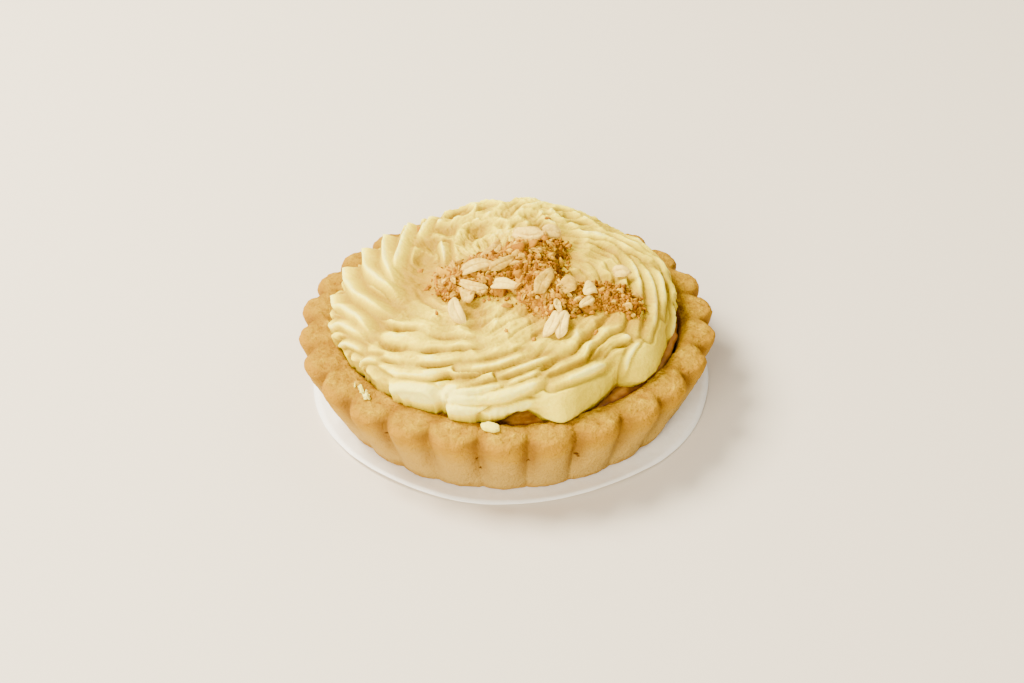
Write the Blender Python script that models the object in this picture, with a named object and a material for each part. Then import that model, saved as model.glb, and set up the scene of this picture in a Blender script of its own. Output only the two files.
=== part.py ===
"""A 10 cm apple tart on its paper round, in metres, standing on z = 0 with its centre on the Z axis.

The fluted crust is filled with cooked apple, and piped cream is swirled over both. Oat crumble lies
on the cream, and a drop of cream sits on the rim. Angles are in degrees, counter-clockwise from +X
as seen from above; the side towards -Y is the front. Heights of the tart are above its own foot.
"""
import math
import random

import bmesh
import bpy
import numpy as np
from mathutils import Euler, Matrix, Vector, noise

NAME = "apple_tart"
SEED = 7
GAP = 0.0003
SAME_PLACE = 1e-5

# Paper round under the tart
PAPER_RADIUS = 0.0484
PAPER_CENTRE = (0.0008, 0.0006)
PAPER_THICKNESS = 0.0004
PAPER_FLAT_RADIUS = 0.042
PAPER_LIFTS = (0.0004, 0.0012)
PAPER_WAVES = 5
PAPER_UNEVENNESS = 0.0008
PAPER_UNEVENNESS_SIZE = 0.020
PAPER_STEPS = 48

# Crust: a shell baked in a fluted tin
BASE_Z = PAPER_THICKNESS + GAP
RIBS = 26
FIRST_RIB = 5.5
STEPS_PER_RIB = 6
FOOT_RADIUS = 0.0430
FOOT_ROUNDING = 0.0006
CREST_HEIGHT = 0.0162
RIM_HEIGHT = 0.0180
RIM_INNER_RADIUS = 0.0407
# Outline of the rim on a rib, from the side over the crest to the inner edge: (radius, height)
RIM_OUTLINE = [(0.0491, 0.0142), (0.0500, CREST_HEIGHT), (0.0495, 0.0173), (0.0480, 0.0179),
               (0.0450, 0.0181), (0.0419, 0.0177), (RIM_INNER_RADIUS, 0.0170)]
FLOOR_RADIUS = 0.0375
FLOOR_HEIGHT = 0.0050
FLUTE_DEPTH_FOOT = 0.0005
FLUTE_DEPTH_RIM = 0.0044
FLUTE_POWER = 2.5
FLUTE_SINK = 0.0005
# The folds grow from nothing to their full depth between these radii
FOOT_FOLD_RADII = (0.0380, FOOT_RADIUS)
RIM_FOLD_RADII = (0.0430, 0.0492)
RIM_BACK_DROP = 0.0005
RIM_UNEVENNESS = 0.0004
RIM_UNEVENNESS_SIZE = 0.012
RIM_LEVEL_WIDTH = 0.0005

# Apple filling, a little below the rim
FILLING_TOP = 0.0161
FILLING_OUTLINE = [(0.0371, FLOOR_HEIGHT + GAP), (0.0398, 0.0153), (0.0391, FILLING_TOP),
                   (0.0360, FILLING_TOP)]
FILLING_BUMPS = 0.0003
FILLING_BUMP_SIZE = 0.005
FILLING_BUMPY_RADIUS = 0.030
FILLING_STEPS = 60
# What the cream lies on, from the axis outward: (radius, height)
SUPPORT = [(0, FILLING_TOP), (0.0391, FILLING_TOP), (0.0400, 0.0170), (0.0406, 0.0173),
           (0.0418, 0.0179), (0.0450, 0.0183), (0.0480, RIM_HEIGHT)]

# Piped cream: a dome with ridges that spiral inward counter-clockwise
CREAM_GAP = 0.0005
CREAM_UNDERSIDE_RADII = (0, 0.0360, 0.0392)
CREAM_FOOT = (0.0403, FILLING_TOP + 0.0020)
CREAM_EDGE_RADIUS = 0.0410
CREAM_WIDEST_HEIGHT = 0.0206
CREAM_DOME = 0.0094
CREAM_DOME_POWER = 2.6
CREAM_EDGE_POWER = 0.45
CREAM_ROW_CROWDING = 0.85
CREAM_ROW_POWER = 0.55
# From this height on the axis, each point of the dome's outline has an elevation of its own
CREAM_EYE_HEIGHT = 0.0160
RIDGE_PITCH = 0.0044
RIDGE_ARMS = 18
RIDGE_DEPTH = 0.0014
RIDGE_DEPTH_LEFT = 0.0012
RIDGE_ROUNDNESS = 1.7
RIDGE_LEVEL = 0.6
RIDGE_WANDER = 0.30
RIDGE_WANDER_SIZE = 0.011
RIDGE_DEPTH_SWING = 0.45
RIDGE_SWING_SIZE = 0.009
RIDGE_FADE_RADII = (0.004, 0.016)
LEFT_ANGLE = 160.0
LEFT_WIDTH = 48.0
BACK_HUMP_ANGLE = 84.0
BACK_HUMP_WIDTH = 24.0
BACK_HUMP_HEIGHT = 0.0022
BACK_HUMP_RADII = (0.012, 0.032)
CREAM_ROWS = 44
CREAM_STEPS = 280
CREAM_KEPT_SHARE = 0.2
# How fast the ridges run inward: (angle, millimetres of run for each degree)
INWARD_RATES = [(0, 0.08), (60, 0.15), (110, 0.32), (150, 0.50), (185, 0.40),
                (215, 0.17), (250, 0.16), (300, 0.17), (330, 0.10)]
# Lobes and notches of the cream's edge: (angle, reach, half width in degrees)
EDGE_LOBES = [(154, 0.0012, 9), (183, 0.0014, 6), (201, -0.0012, 8), (222, -0.0014, 5),
              (236, 0.0014, 9), (252, 0.0008, 6), (276, -0.0028, 7), (287, 0.0028, 6),
              (302, -0.0006, 6), (320, 0.0026, 8), (20, 0.0006, 16)]
EDGE_LOBE_RADII = (0.030, 0.039)

# Crumble heap on the cream: mounds as (x, y, radius, height), and what lies on it
MOUNDS = [(-0.0090, -0.0022, 0.0074, 0.0034), (-0.0030, -0.0004, 0.0082, 0.0044),
          (0.0045, 0.0026, 0.0090, 0.0050), (0.0080, 0.0098, 0.0068, 0.0036),
          (0.0062, -0.0078, 0.0084, 0.0040), (0.0112, -0.0112, 0.0064, 0.0034),
          (0.0172, -0.0100, 0.0054, 0.0026), (-0.0122, -0.0074, 0.0042, 0.0018),
          (0.0240, -0.0100, 0.0052, 0.0021), (0.0288, -0.0132, 0.0038, 0.0015)]
MOUND_SINK = 0.0012
MOUND_LUMPS = 0.16
MOUND_LUMPS_A_RADIUS = 2.2
HEAP_EDGE_HEIGHT = 0.0012
CRUMBS_ON_HEAP = 40
CRUMB_SIZE = (0.0010, 0.0021)
CRUMB_UNEVENNESS = (0.8, 1.15)
CRUMB_STRETCH = (1.15, 1.0, 0.8)
CRUMB_SPREAD = 0.85
FLAKE_WIDTH_SHARE = 0.52
FLAKE_THICKNESS = 0.0010
FLAKE_FULLNESS = 0.56
FLAKE_ROLL_SHARE = 0.6
# Oat flakes on the heap: (x, y, heading in degrees, tilt in degrees, length)
HEAP_FLAKES = [(0.0053, 0.0124, -14, 12, 0.0078), (0.0112, 0.0128, -6, -16, 0.0058),
               (-0.0030, 0.0078, 52, 18, 0.0080), (-0.0073, 0.0008, 30, 10, 0.0072),
               (-0.0006, 0.0030, 55, -12, 0.0076), (-0.0002, -0.0052, 4, 8, 0.0062),
               (-0.0076, -0.0046, -12, -10, 0.0064), (-0.0092, -0.0090, 70, 14, 0.0050),
               (0.0092, -0.0072, 75, -20, 0.0066), (0.0144, -0.0072, 20, 12, 0.0044),
               (0.0190, -0.0084, 110, -14, 0.0044), (0.0122, -0.0134, 95, 16, 0.0046),
               (0.0172, -0.0120, 8, -8, 0.0042), (0.0035, 0.0080, -40, 22, 0.0046)]
# Flakes and crumbs that lie apart on the cream: (x, y, heading, tilt, length)
STRAY_FLAKES = [(-0.0114, -0.0158, 112, 10, 0.0072), (0.0100, -0.0212, 68, 8, 0.0072),
                (0.0127, -0.0211, 104, -8, 0.0072), (0.0270, -0.0008, 40, 14, 0.0044)]
STRAY_CRUMBS = [(0.0102, 0.0205, 0.0012), (0.0148, 0.0240, 0.0012), (-0.0001, -0.0222, 0.0014)]
STRAY_RISE = 0.0004

# Cream drop on the front rim
DROP_ANGLE = 265.0
DROP_RADIUS = 0.0437
DROP_SIZE = (0.0044, 0.0027, 0.0017)
DROP_HEADING = -25.0
DROP_LUMPS = 0.2
DROP_LUMPS_ACROSS = 3.0
DROP_FLAT_SHARE = -0.32

# Colours, linear
CRUST_COLOUR = (0.70, 0.42, 0.18)
APPLE_COLOUR = (0.40, 0.21, 0.07)
CREAM_COLOUR = (0.93, 0.82, 0.42)
CRUMBLE_COLOUR = (0.62, 0.36, 0.15)
PAPER_COLOUR = (0.82, 0.80, 0.76)


def clear_scene():
    """Remove every object of the open scene."""
    for obj in list(bpy.data.objects):
        bpy.data.objects.remove(obj, do_unlink=True)


def new_collection(name):
    """A collection of this name, linked to the scene."""
    made = bpy.data.collections.new(name)
    bpy.context.scene.collection.children.link(made)
    return made


def new_material(name, colour, roughness):
    """A Principled BSDF of one colour."""
    material = bpy.data.materials.new(name)
    material.use_nodes = True
    shader = material.node_tree.nodes["Principled BSDF"]
    shader.inputs["Base Color"].default_value = (*colour, 1.0)
    shader.inputs["Roughness"].default_value = roughness
    shader.inputs["Metallic"].default_value = 0.0
    material.diffuse_color = (*colour, 1.0)
    return material


def new_object(name, bm, collection, material=None):
    """Turn a bmesh into an object with outward faces, shaded smooth."""
    bmesh.ops.recalc_face_normals(bm, faces=bm.faces)
    mesh = bpy.data.meshes.new(name)
    bm.to_mesh(mesh)
    bm.free()
    obj = bpy.data.objects.new(name, mesh)
    collection.objects.link(obj)
    if material is not None:
        mesh.materials.append(material)
    mesh.shade_smooth()
    return obj


def turned(profile, steps):
    """Spin a closed profile of (radius, height) round the Z axis; its ends lie on the axis."""
    bm = bmesh.new()
    points = [bm.verts.new((radius, 0.0, height)) for radius, height in profile]
    edges = [bm.edges.new(pair) for pair in zip(points, points[1:])]
    bmesh.ops.spin(bm, geom=points + edges, cent=(0, 0, 0), axis=(0, 0, 1),
                   angle=math.tau, steps=steps, use_merge=True)
    bmesh.ops.remove_doubles(bm, verts=bm.verts, dist=SAME_PLACE / 10)
    return bm


def reshape(bm, rule):
    """Move every vertex: rule takes and gives arrays of angle, radius and height."""
    places = np.array([vertex.co[:] for vertex in bm.verts])
    angle = np.arctan2(places[:, 1], places[:, 0])
    radius = np.hypot(places[:, 0], places[:, 1])
    new_radius, new_height = rule(angle, radius, places[:, 2])
    for vertex, a, r, z in zip(bm.verts, angle, new_radius, new_height):
        vertex.co = (r * math.cos(a), r * math.sin(a), z)


def lump(angle, radius, height, size, offset):
    """Smooth noise between -1 and 1 at points given in cylinder coordinates."""
    points = zip(radius * np.cos(angle), radius * np.sin(angle), height)
    return np.array([noise.noise(Vector(point) / size + Vector((offset, 0, 0))) for point in points])


def bump(angle, centre, half_width):
    """A bell round one direction: 1 at the centre, in degrees."""
    away = (np.degrees(angle) - centre + 180.0) % 360.0 - 180.0
    return np.exp(-(away / half_width) ** 2)


def flute(angle):
    """How deep the side is folded in: 0 on a rib's crest and 1 in the groove between two."""
    phase = (np.degrees(angle) - FIRST_RIB) * RIBS / 360.0
    off_crest = np.abs(phase - np.round(phase)) * 2.0
    return off_crest ** FLUTE_POWER


def make_crust(collection):
    """The shell: turned, then folded into ribs that are deepest at the rim."""
    foot = [(0, 0), (FOOT_RADIUS - FOOT_ROUNDING, 0), (FOOT_RADIUS, FOOT_ROUNDING)]
    floor = [(FLOOR_RADIUS, FLOOR_HEIGHT), (0, FLOOR_HEIGHT)]
    bm = turned(foot + RIM_OUTLINE + floor, RIBS * STEPS_PER_RIB)

    def fold(angle, radius, height):
        depth = np.interp(height, [FOOT_ROUNDING, CREST_HEIGHT], [FLUTE_DEPTH_FOOT, FLUTE_DEPTH_RIM])
        on_rim = height > CREST_HEIGHT
        outside = np.where(on_rim, np.interp(radius, RIM_FOLD_RADII, [0, 1]),
                           np.interp(radius, FOOT_FOLD_RADII, [0, 1]))
        inside = (radius < RIM_INNER_RADIUS + SAME_PLACE) & (height > FLOOR_HEIGHT - SAME_PLACE)
        outside = np.where(inside, 0, outside)
        uneven = RIM_UNEVENNESS * lump(angle, radius, height * 0, RIM_UNEVENNESS_SIZE, 3.0)
        back = 0.5 + 0.5 * np.sin(angle)
        sunk = RIM_BACK_DROP * back + FLUTE_SINK * flute(angle) * outside
        lift = (uneven - sunk) * on_rim * (radius > RIM_INNER_RADIUS + RIM_LEVEL_WIDTH)
        return radius - depth * flute(angle) * outside, height + lift

    reshape(bm, fold)
    obj = new_object("crust", bm, collection, new_material("crust", CRUST_COLOUR, 0.62))
    obj.location.z = BASE_Z
    return obj


def make_filling(collection):
    """The apple: it fills the shell to just below the rim."""
    bm = turned([(0, FLOOR_HEIGHT + GAP)] + FILLING_OUTLINE + [(0, FILLING_TOP)], FILLING_STEPS)

    def settle(angle, radius, height):
        top = (height > FILLING_TOP - SAME_PLACE) & (radius > FILLING_BUMPY_RADIUS)
        rise = FILLING_BUMPS * lump(angle, radius, height * 0, FILLING_BUMP_SIZE, 11.0)
        return radius, height + np.where(top, rise - FILLING_BUMPS, 0)

    reshape(bm, settle)
    material = new_material("apple_filling", APPLE_COLOUR, 0.35)
    obj = new_object("filling", bm, collection, material)
    obj.location.z = BASE_Z
    return obj


def support_height(radius):
    """Height of the filling or of the rim at this radius."""
    return np.interp(radius, [r for r, _ in SUPPORT], [z for _, z in SUPPORT])


def dome_height(radius):
    """Height of the cream's plain dome, without ridges."""
    share = np.clip(radius / CREAM_EDGE_RADIUS, 0, 1)
    return CREAM_WIDEST_HEIGHT + CREAM_DOME * (1 - share ** CREAM_DOME_POWER) ** CREAM_EDGE_POWER


def dome_profile(rows):
    """The dome's outline from the foot over the widest point to the axis."""
    turn = np.linspace(0, 1, rows) ** CREAM_ROW_CROWDING
    radii = CREAM_EDGE_RADIUS * np.cos(turn * math.pi / 2) ** CREAM_ROW_POWER
    radii[-1] = 0
    return [CREAM_FOOT] + [(float(r), float(dome_height(r))) for r in radii]


def inward_drop(angle):
    """How far a ridge has run inward at this angle, growing by a whole number of pitches a turn."""
    degrees = np.arange(0, 361)
    known = INWARD_RATES + [(INWARD_RATES[0][0] + 360, INWARD_RATES[0][1])]
    rates = np.interp(degrees, [a for a, _ in known], [rate for _, rate in known])
    total = np.concatenate([[0], np.cumsum((rates[1:] + rates[:-1]) / 2)])
    turns = total / total[-1] * RIDGE_ARMS * RIDGE_PITCH
    return np.interp(np.degrees(angle) % 360, degrees, turns)


def ridge(angle, run):
    """Ridge height: 0 in a valley and 1 on a crest; run is measured from the axis along the dome."""
    phase = (run + inward_drop(angle)) / RIDGE_PITCH
    wander = RIDGE_WANDER * lump(angle, run, run * 0, RIDGE_WANDER_SIZE, 20.0)
    share = (phase + wander) % 1.0
    return 1 - np.abs(2 * share - 1) ** RIDGE_ROUNDNESS


def under_heap(x, y):
    """1 where the crumble hides the cream and 0 outside it."""
    heights = np.array([mound_height(*place) for place in zip(x, y)])
    return np.clip(heights / HEAP_EDGE_HEIGHT, 0, 1)


def make_cream(collection):
    """The piped cream: a dome pushed out along its normals by the ridges, then thinned."""
    outline = dome_profile(CREAM_ROWS)
    radii = np.array([r for r, _ in outline])
    heights = np.array([z for _, z in outline])
    run_from_foot = np.concatenate([[0], np.cumsum(np.hypot(np.diff(radii), np.diff(heights)))])
    runs = run_from_foot[-1] - run_from_foot
    slope_r = np.gradient(radii)
    slope_z = np.gradient(heights)
    length = np.hypot(slope_r, slope_z)
    elevation = np.arctan2(heights - CREAM_EYE_HEIGHT, radii)

    bottom = FILLING_TOP + CREAM_GAP
    bm = turned([(r, bottom) for r in CREAM_UNDERSIDE_RADII] + outline, CREAM_STEPS)

    def pipe(angle, radius, height):
        own = np.arctan2(height - CREAM_EYE_HEIGHT, radius)
        run = np.interp(own, elevation, runs)
        out = np.interp(own, elevation, slope_z / length)
        up = np.interp(own, elevation, -slope_r / length)
        above = height > bottom + SAME_PLACE
        left = bump(angle, LEFT_ANGLE, LEFT_WIDTH)
        fade = np.interp(radius, RIDGE_FADE_RADII, [0, 1])
        covered = under_heap(radius * np.cos(angle), radius * np.sin(angle))
        swing = 1 + RIDGE_DEPTH_SWING * lump(angle, radius, height, RIDGE_SWING_SIZE, 47.0)
        depth = (RIDGE_DEPTH + RIDGE_DEPTH_LEFT * left) * swing * fade * (1 - covered)
        push = depth * (ridge(angle, run) - RIDGE_LEVEL) * above
        side = np.interp(radius, EDGE_LOBE_RADII, [0, 1])
        reach = sum(size * bump(angle, centre, width) for centre, size, width in EDGE_LOBES)
        hump = BACK_HUMP_HEIGHT * bump(angle, BACK_HUMP_ANGLE, BACK_HUMP_WIDTH)
        hump = hump * np.interp(radius, BACK_HUMP_RADII, [0, 1])
        low = np.interp(height, [FILLING_TOP, CREAM_WIDEST_HEIGHT], [0, 1])
        new_radius = radius + push * out + reach * side
        new_height = height + (push * up + hump) * low * above
        floor = support_height(new_radius) + CREAM_GAP
        new_height = np.where(above, np.maximum(new_height, floor), floor)
        return new_radius, new_height

    reshape(bm, pipe)
    obj = new_object("cream", bm, collection, new_material("cream", CREAM_COLOUR, 0.45))
    obj.location.z = BASE_Z
    thin = obj.modifiers.new("thin", "DECIMATE")
    thin.ratio = CREAM_KEPT_SHARE
    apply_modifiers(obj)

    strays = new_collection("strays")
    draw = random.Random(SEED)
    for x, y, heading, tilt, size in STRAY_FLAKES:
        top = BASE_Z + float(dome_height(math.hypot(x, y))) + STRAY_RISE
        make_flake("stray_flake", strays, (x, y, top), heading, tilt, size)
    for x, y, size in STRAY_CRUMBS:
        top = BASE_Z + float(dome_height(math.hypot(x, y))) + STRAY_RISE
        make_crumb("stray_crumb", strays, (x, y, top), size, draw)
    join_all(obj, strays)
    drop_scraps(obj)
    return obj


def apply_modifiers(obj):
    """Replace an object's mesh by its evaluated mesh in triangles, and drop its modifiers."""
    bpy.context.view_layer.update()
    graph = bpy.context.evaluated_depsgraph_get()
    mesh = bpy.data.meshes.new_from_object(obj.evaluated_get(graph))
    bm = bmesh.new()
    bm.from_mesh(mesh)
    bmesh.ops.triangulate(bm, faces=bm.faces)
    bm.to_mesh(mesh)
    bm.free()
    old = obj.data
    obj.modifiers.clear()
    obj.data = mesh
    bpy.data.meshes.remove(old)


def join_all(obj, pieces):
    """Fuse a collection of closed pieces to an object, and remove them."""
    union = obj.modifiers.new("fuse", "BOOLEAN")
    union.operation = "UNION"
    union.operand_type = "COLLECTION"
    union.collection = pieces
    apply_modifiers(obj)
    for piece in list(pieces.objects):
        bpy.data.objects.remove(piece, do_unlink=True)
    bpy.data.collections.remove(pieces)


def drop_scraps(obj):
    """Keep only an object's largest closed surface, without loose bits and sealed hollows."""
    bm = bmesh.new()
    bm.from_mesh(obj.data)
    unseen = set(bm.faces)
    pieces = []
    while unseen:
        piece = []
        waiting = [unseen.pop()]
        while waiting:
            face = waiting.pop()
            piece.append(face)
            closed_edges = [edge for edge in face.edges if len(edge.link_faces) == 2]
            for near in [near for edge in closed_edges for near in edge.link_faces]:
                if near in unseen:
                    unseen.remove(near)
                    waiting.append(near)
        pieces.append(piece)
    pieces.sort(key=len)
    for scrap in pieces[:-1]:
        bmesh.ops.delete(bm, geom=scrap, context="FACES")
    bm.to_mesh(obj.data)
    bm.free()


def make_flake(name, collection, place, heading, tilt, length):
    """An oat flake: a thin oval disc."""
    bm = bmesh.new()
    bmesh.ops.create_uvsphere(bm, u_segments=8, v_segments=3, radius=FLAKE_FULLNESS)
    size = Vector((length, length * FLAKE_WIDTH_SHARE, FLAKE_THICKNESS))
    roll = math.radians(tilt) * FLAKE_ROLL_SHARE
    turn = Euler((roll, math.radians(tilt), math.radians(heading)))
    bmesh.ops.transform(bm, verts=bm.verts,
                        matrix=Matrix.LocRotScale(Vector(place), turn, size))
    return new_object(name, bm, collection)


def make_crumb(name, collection, place, radius, draw):
    """A crumb: a lumpy twenty-sided grain."""
    bm = bmesh.new()
    bmesh.ops.create_icosphere(bm, subdivisions=1, radius=radius)
    for vertex in bm.verts:
        vertex.co *= draw.uniform(*CRUMB_UNEVENNESS)
    turn = Euler([draw.uniform(0, math.tau) for _ in range(3)])
    stretch = Vector(CRUMB_STRETCH)
    bmesh.ops.transform(bm, verts=bm.verts, matrix=Matrix.LocRotScale(Vector(place), turn, stretch))
    return new_object(name, bm, collection)


def mound_height(x, y):
    """Height of the heap's core above the cream's plain dome."""
    best = -MOUND_SINK
    for mound_x, mound_y, radius, height in MOUNDS:
        away = math.hypot(x - mound_x, y - mound_y) / radius
        if away < 1:
            best = max(best, (height + MOUND_SINK) * math.sqrt(1 - away * away) - MOUND_SINK)
    return best


def heap_top(x, y):
    """Height of the heap's core above the ground."""
    return BASE_Z + float(dome_height(math.hypot(x, y))) + mound_height(x, y)


def make_mound(collection, x, y, radius, height):
    """One rough mound of the heap's core, sunk into the cream's dome."""
    bm = bmesh.new()
    bmesh.ops.create_icosphere(bm, subdivisions=2, radius=1.0)
    millimetres = Vector((x, y, 0)) * 900
    for vertex in bm.verts:
        vertex.co *= 1 + MOUND_LUMPS * noise.noise(vertex.co * MOUND_LUMPS_A_RADIUS + millimetres)
    place = Vector((x, y, BASE_Z + float(dome_height(math.hypot(x, y))) - MOUND_SINK))
    size = Vector((radius, radius, height + MOUND_SINK))
    bmesh.ops.transform(bm, verts=bm.verts,
                        matrix=Matrix.LocRotScale(place, Euler((0, 0, 0)), size))
    return new_object("mound", bm, collection)


def make_crumble(collection, cream):
    """The heap: mounds, crumbs and oat flakes fused, cut to lie on the cream."""
    pieces = new_collection("crumble_pieces")
    draw = random.Random(SEED + 1)
    core = make_mound(collection, *MOUNDS[0])
    for mound in MOUNDS[1:]:
        make_mound(pieces, *mound)
    for x, y, heading, tilt, length in HEAP_FLAKES:
        make_flake("flake", pieces, (x, y, heap_top(x, y)), heading, tilt, length)
    for _ in range(CRUMBS_ON_HEAP):
        mound_x, mound_y, radius, _ = draw.choice(MOUNDS)
        turn = draw.uniform(0, math.tau)
        away = radius * math.sqrt(draw.uniform(0, CRUMB_SPREAD))
        x = mound_x + away * math.cos(turn)
        y = mound_y + away * math.sin(turn)
        make_crumb("crumb", pieces, (x, y, heap_top(x, y)), draw.uniform(*CRUMB_SIZE), draw)
    join_all(core, pieces)
    core.name = "crumble"

    cutters = new_collection("cutters")
    cutter = bpy.data.objects.new("raised_cream", cream.data.copy())
    cutter.location = (0, 0, cream.location.z + GAP)
    cutter.hide_render = True
    cutter.display_type = "WIRE"
    cutters.objects.link(cutter)
    cut = core.modifiers.new("rest_on_cream", "BOOLEAN")
    cut.operation = "DIFFERENCE"
    cut.object = cutter
    apply_modifiers(core)
    drop_scraps(core)
    core.data.materials.clear()
    core.data.materials.append(new_material("crumble", CRUMBLE_COLOUR, 0.8))
    return core


def make_paper(collection):
    """The paper round: flat under the tart, its edge lifting in slow waves."""
    rings = [0, PAPER_FLAT_RADIUS, PAPER_RADIUS]
    profile = [(r, 0.0) for r in rings] + [(r, PAPER_THICKNESS) for r in reversed(rings)]
    bm = turned(profile, PAPER_STEPS)

    def wave(angle, radius, height):
        edge = np.interp(radius, [PAPER_FLAT_RADIUS, PAPER_RADIUS], [0, 1])
        wave_share = 0.5 + 0.5 * np.sin(PAPER_WAVES * angle + 0.6)
        lift = PAPER_LIFTS[0] + (PAPER_LIFTS[1] - PAPER_LIFTS[0]) * wave_share
        rough = lump(angle, radius * 0 + PAPER_RADIUS, height * 0, PAPER_UNEVENNESS_SIZE, 31.0)
        return radius + PAPER_UNEVENNESS * rough * edge, height + lift * edge ** 2

    reshape(bm, wave)
    obj = new_object("paper", bm, collection, new_material("paper", PAPER_COLOUR, 0.7))
    obj.location = (*PAPER_CENTRE, 0)
    return obj


def make_cream_drop(collection):
    """The drop of cream on the front rim."""
    bm = bmesh.new()
    bmesh.ops.create_icosphere(bm, subdivisions=2, radius=0.5)
    for vertex in bm.verts:
        rough = noise.noise(vertex.co * DROP_LUMPS_ACROSS + Vector((5, 0, 0)))
        vertex.co *= 1 + DROP_LUMPS * rough
        vertex.co.z = max(vertex.co.z, DROP_FLAT_SHARE)
    bmesh.ops.scale(bm, verts=bm.verts, vec=DROP_SIZE)
    lowest = min(vertex.co.z for vertex in bm.verts)
    obj = new_object("cream_drop", bm, collection, bpy.data.materials["cream"])
    angle = math.radians(DROP_ANGLE)
    rim_top = float(support_height(DROP_RADIUS))
    obj.location = (DROP_RADIUS * math.cos(angle), DROP_RADIUS * math.sin(angle),
                    BASE_Z + rim_top + GAP * 2 - lowest)
    obj.rotation_euler = (0, 0, math.radians(DROP_HEADING))
    return obj


def main():
    """Build the tart."""
    clear_scene()
    parts = new_collection(NAME)
    make_crust(parts)
    make_filling(parts)
    cream = make_cream(parts)
    make_crumble(parts, cream)
    make_paper(parts)
    make_cream_drop(parts)


main()
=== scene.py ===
"""Looks of the apple tart, in metres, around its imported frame.

Angles are in degrees, counter-clockwise from +X as seen from above; the front is towards -Y. The
cream is described by an angle and a run, the distance from its top along the dome. Heights of the
tart's own pieces are above its foot, which lies BASE_Z above the floor. A list in millimetres says so.
"""
import math

import bmesh
import bpy
import numpy as np
from mathutils import Euler, Matrix, Quaternion, Vector
from mathutils.bvhtree import BVHTree


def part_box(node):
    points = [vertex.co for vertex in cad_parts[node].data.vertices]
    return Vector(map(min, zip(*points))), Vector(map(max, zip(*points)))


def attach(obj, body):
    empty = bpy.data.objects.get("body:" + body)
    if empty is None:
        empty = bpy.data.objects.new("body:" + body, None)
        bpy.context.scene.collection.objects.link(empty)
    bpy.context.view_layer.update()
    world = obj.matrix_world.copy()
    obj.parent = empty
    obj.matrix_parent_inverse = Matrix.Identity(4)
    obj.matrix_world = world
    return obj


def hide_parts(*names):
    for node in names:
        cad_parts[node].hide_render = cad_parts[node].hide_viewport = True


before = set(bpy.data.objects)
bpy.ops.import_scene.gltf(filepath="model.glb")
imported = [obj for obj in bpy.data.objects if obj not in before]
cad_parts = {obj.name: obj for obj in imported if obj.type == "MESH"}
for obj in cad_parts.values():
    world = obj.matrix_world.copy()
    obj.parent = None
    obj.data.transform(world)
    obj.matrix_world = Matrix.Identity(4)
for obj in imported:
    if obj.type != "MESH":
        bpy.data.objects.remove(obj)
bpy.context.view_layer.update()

BASE_Z = 0.0007
MM = 0.001
NOISE_CELLS = 32
NOISE_START = 512.37
NOISE_STRENGTH = 1.6
CURVE_STEPS = 24

# Camera at the photograph's angle
CAMERA_LENS = 70.0
CAMERA_NEAR = 0.01
CAMERA_DOWN = 36.09
CAMERA_ROLL = -0.95
CAMERA_DISTANCE = 0.4891
CAMERA_AIM = Vector((0.00123, 0.00506, 0.00764))

# Studio, with each lamp's name, place, width, watts and colour
LAMPS = [("key", (-0.50, 0.22, 0.70), 0.38, 33.0, (1.0, 0.95, 0.80)),
         ("fill", (-0.36, -0.82, 0.44), 0.42, 20.0, (1.0, 0.95, 0.80)),
         ("side", (0.55, 0.32, 0.60), 0.50, 3.5, (1.0, 0.95, 0.82))]
SKY_COLOUR = (1.0, 0.95, 0.84)
SKY_STRENGTH = 0.60
FLOOR_COLOUR = (0.66, 0.575, 0.465)
FLOOR_REACH = 3.0
FLOOR_GAP = 0.00005

# Crust: a shell with ribs, its grooves somewhat shallower than in the solids
RIBS = 26
FIRST_RIB = 5.5
CREST_RADIUS = 0.0500
CREST_HEIGHT = 0.0158
RIM_HEIGHT = 0.0180
RIM_INNER_RADIUS = 0.0407
CRUST_OUTLINE = [(0.0424, -0.0002), (0.0430, 0.0006), (0.0464, 0.0075), (0.0493, 0.0138),
                 (CREST_RADIUS, CREST_HEIGHT), (0.0498, 0.0169), (0.0487, 0.0177), (0.0465, 0.0181),
                 (0.0440, 0.0181), (0.0419, 0.0177), (RIM_INNER_RADIUS, 0.0170), (0.0402, 0.0150),
                 (0.0375, 0.0050)]
CRUST_ROWS = 100
CRUST_STEPS_PER_RIB = 30
# How deep the grooves are at the foot and at full height
FLUTE_DEPTHS = (0.0008, 0.0034)
FLUTE_FULL_HEIGHT = 0.0162
FLUTE_POWER = 2.2
FLUTE_RISE_POWER = 0.65
FLUTE_SINK = 0.0007
FLUTE_WANDER = 0.8
RIM_FOLD_RADII = (0.0443, 0.0500)
RIM_LIGHT_RADII = (0.0476, 0.0496)
RIM_GRAIN_HEIGHTS = (0.0150, 0.0172)
RIM_WAVE = 0.0003
RIM_WAVE_HEIGHTS = (0.0085, CREST_HEIGHT)
RIM_BACK_DROP = 0.0005
SIDE_WAVE = 0.00022
RIB_UNEVENNESS = 0.0004
RIB_UNEVEN_HEIGHTS = (0.004, 0.014)
GRAIN_HEIGHT = 0.0003
PIT_DEPTH = 0.0006
# Where the gap inside the rim is wide and lit, with painted light on the filling, and where the gap's dark
# edge is painted paler: (angle, half width in degrees)
LIT_GAP = (352, 24)
PALE_GAP = (200, 24)
# Where the rim's inner edge wanders: (angle, half width in degrees, how far outward)
INNER_SHIFTS = [(*LIT_GAP, 0.0014), (230, 26, -0.0013)]
# Small burnt spots in the grooves: (angle, height, radius)
BURNT_SPOTS = [(261.8, 0.0074, 0.0005), (261.2, 0.0118, 0.0004), (275.6, 0.0110, 0.0006),
               (289.6, 0.0104, 0.0006), (290.3, 0.0095, 0.0004), (247.6, 0.0150, 0.0004),
               (248.6, 0.0100, 0.0005), (219.8, 0.0118, 0.0005), (233.8, 0.0135, 0.0004),
               (31.0, 0.0090, 0.0005), (115.0, 0.0120, 0.0005), (150.0, 0.0080, 0.0004)]
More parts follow.
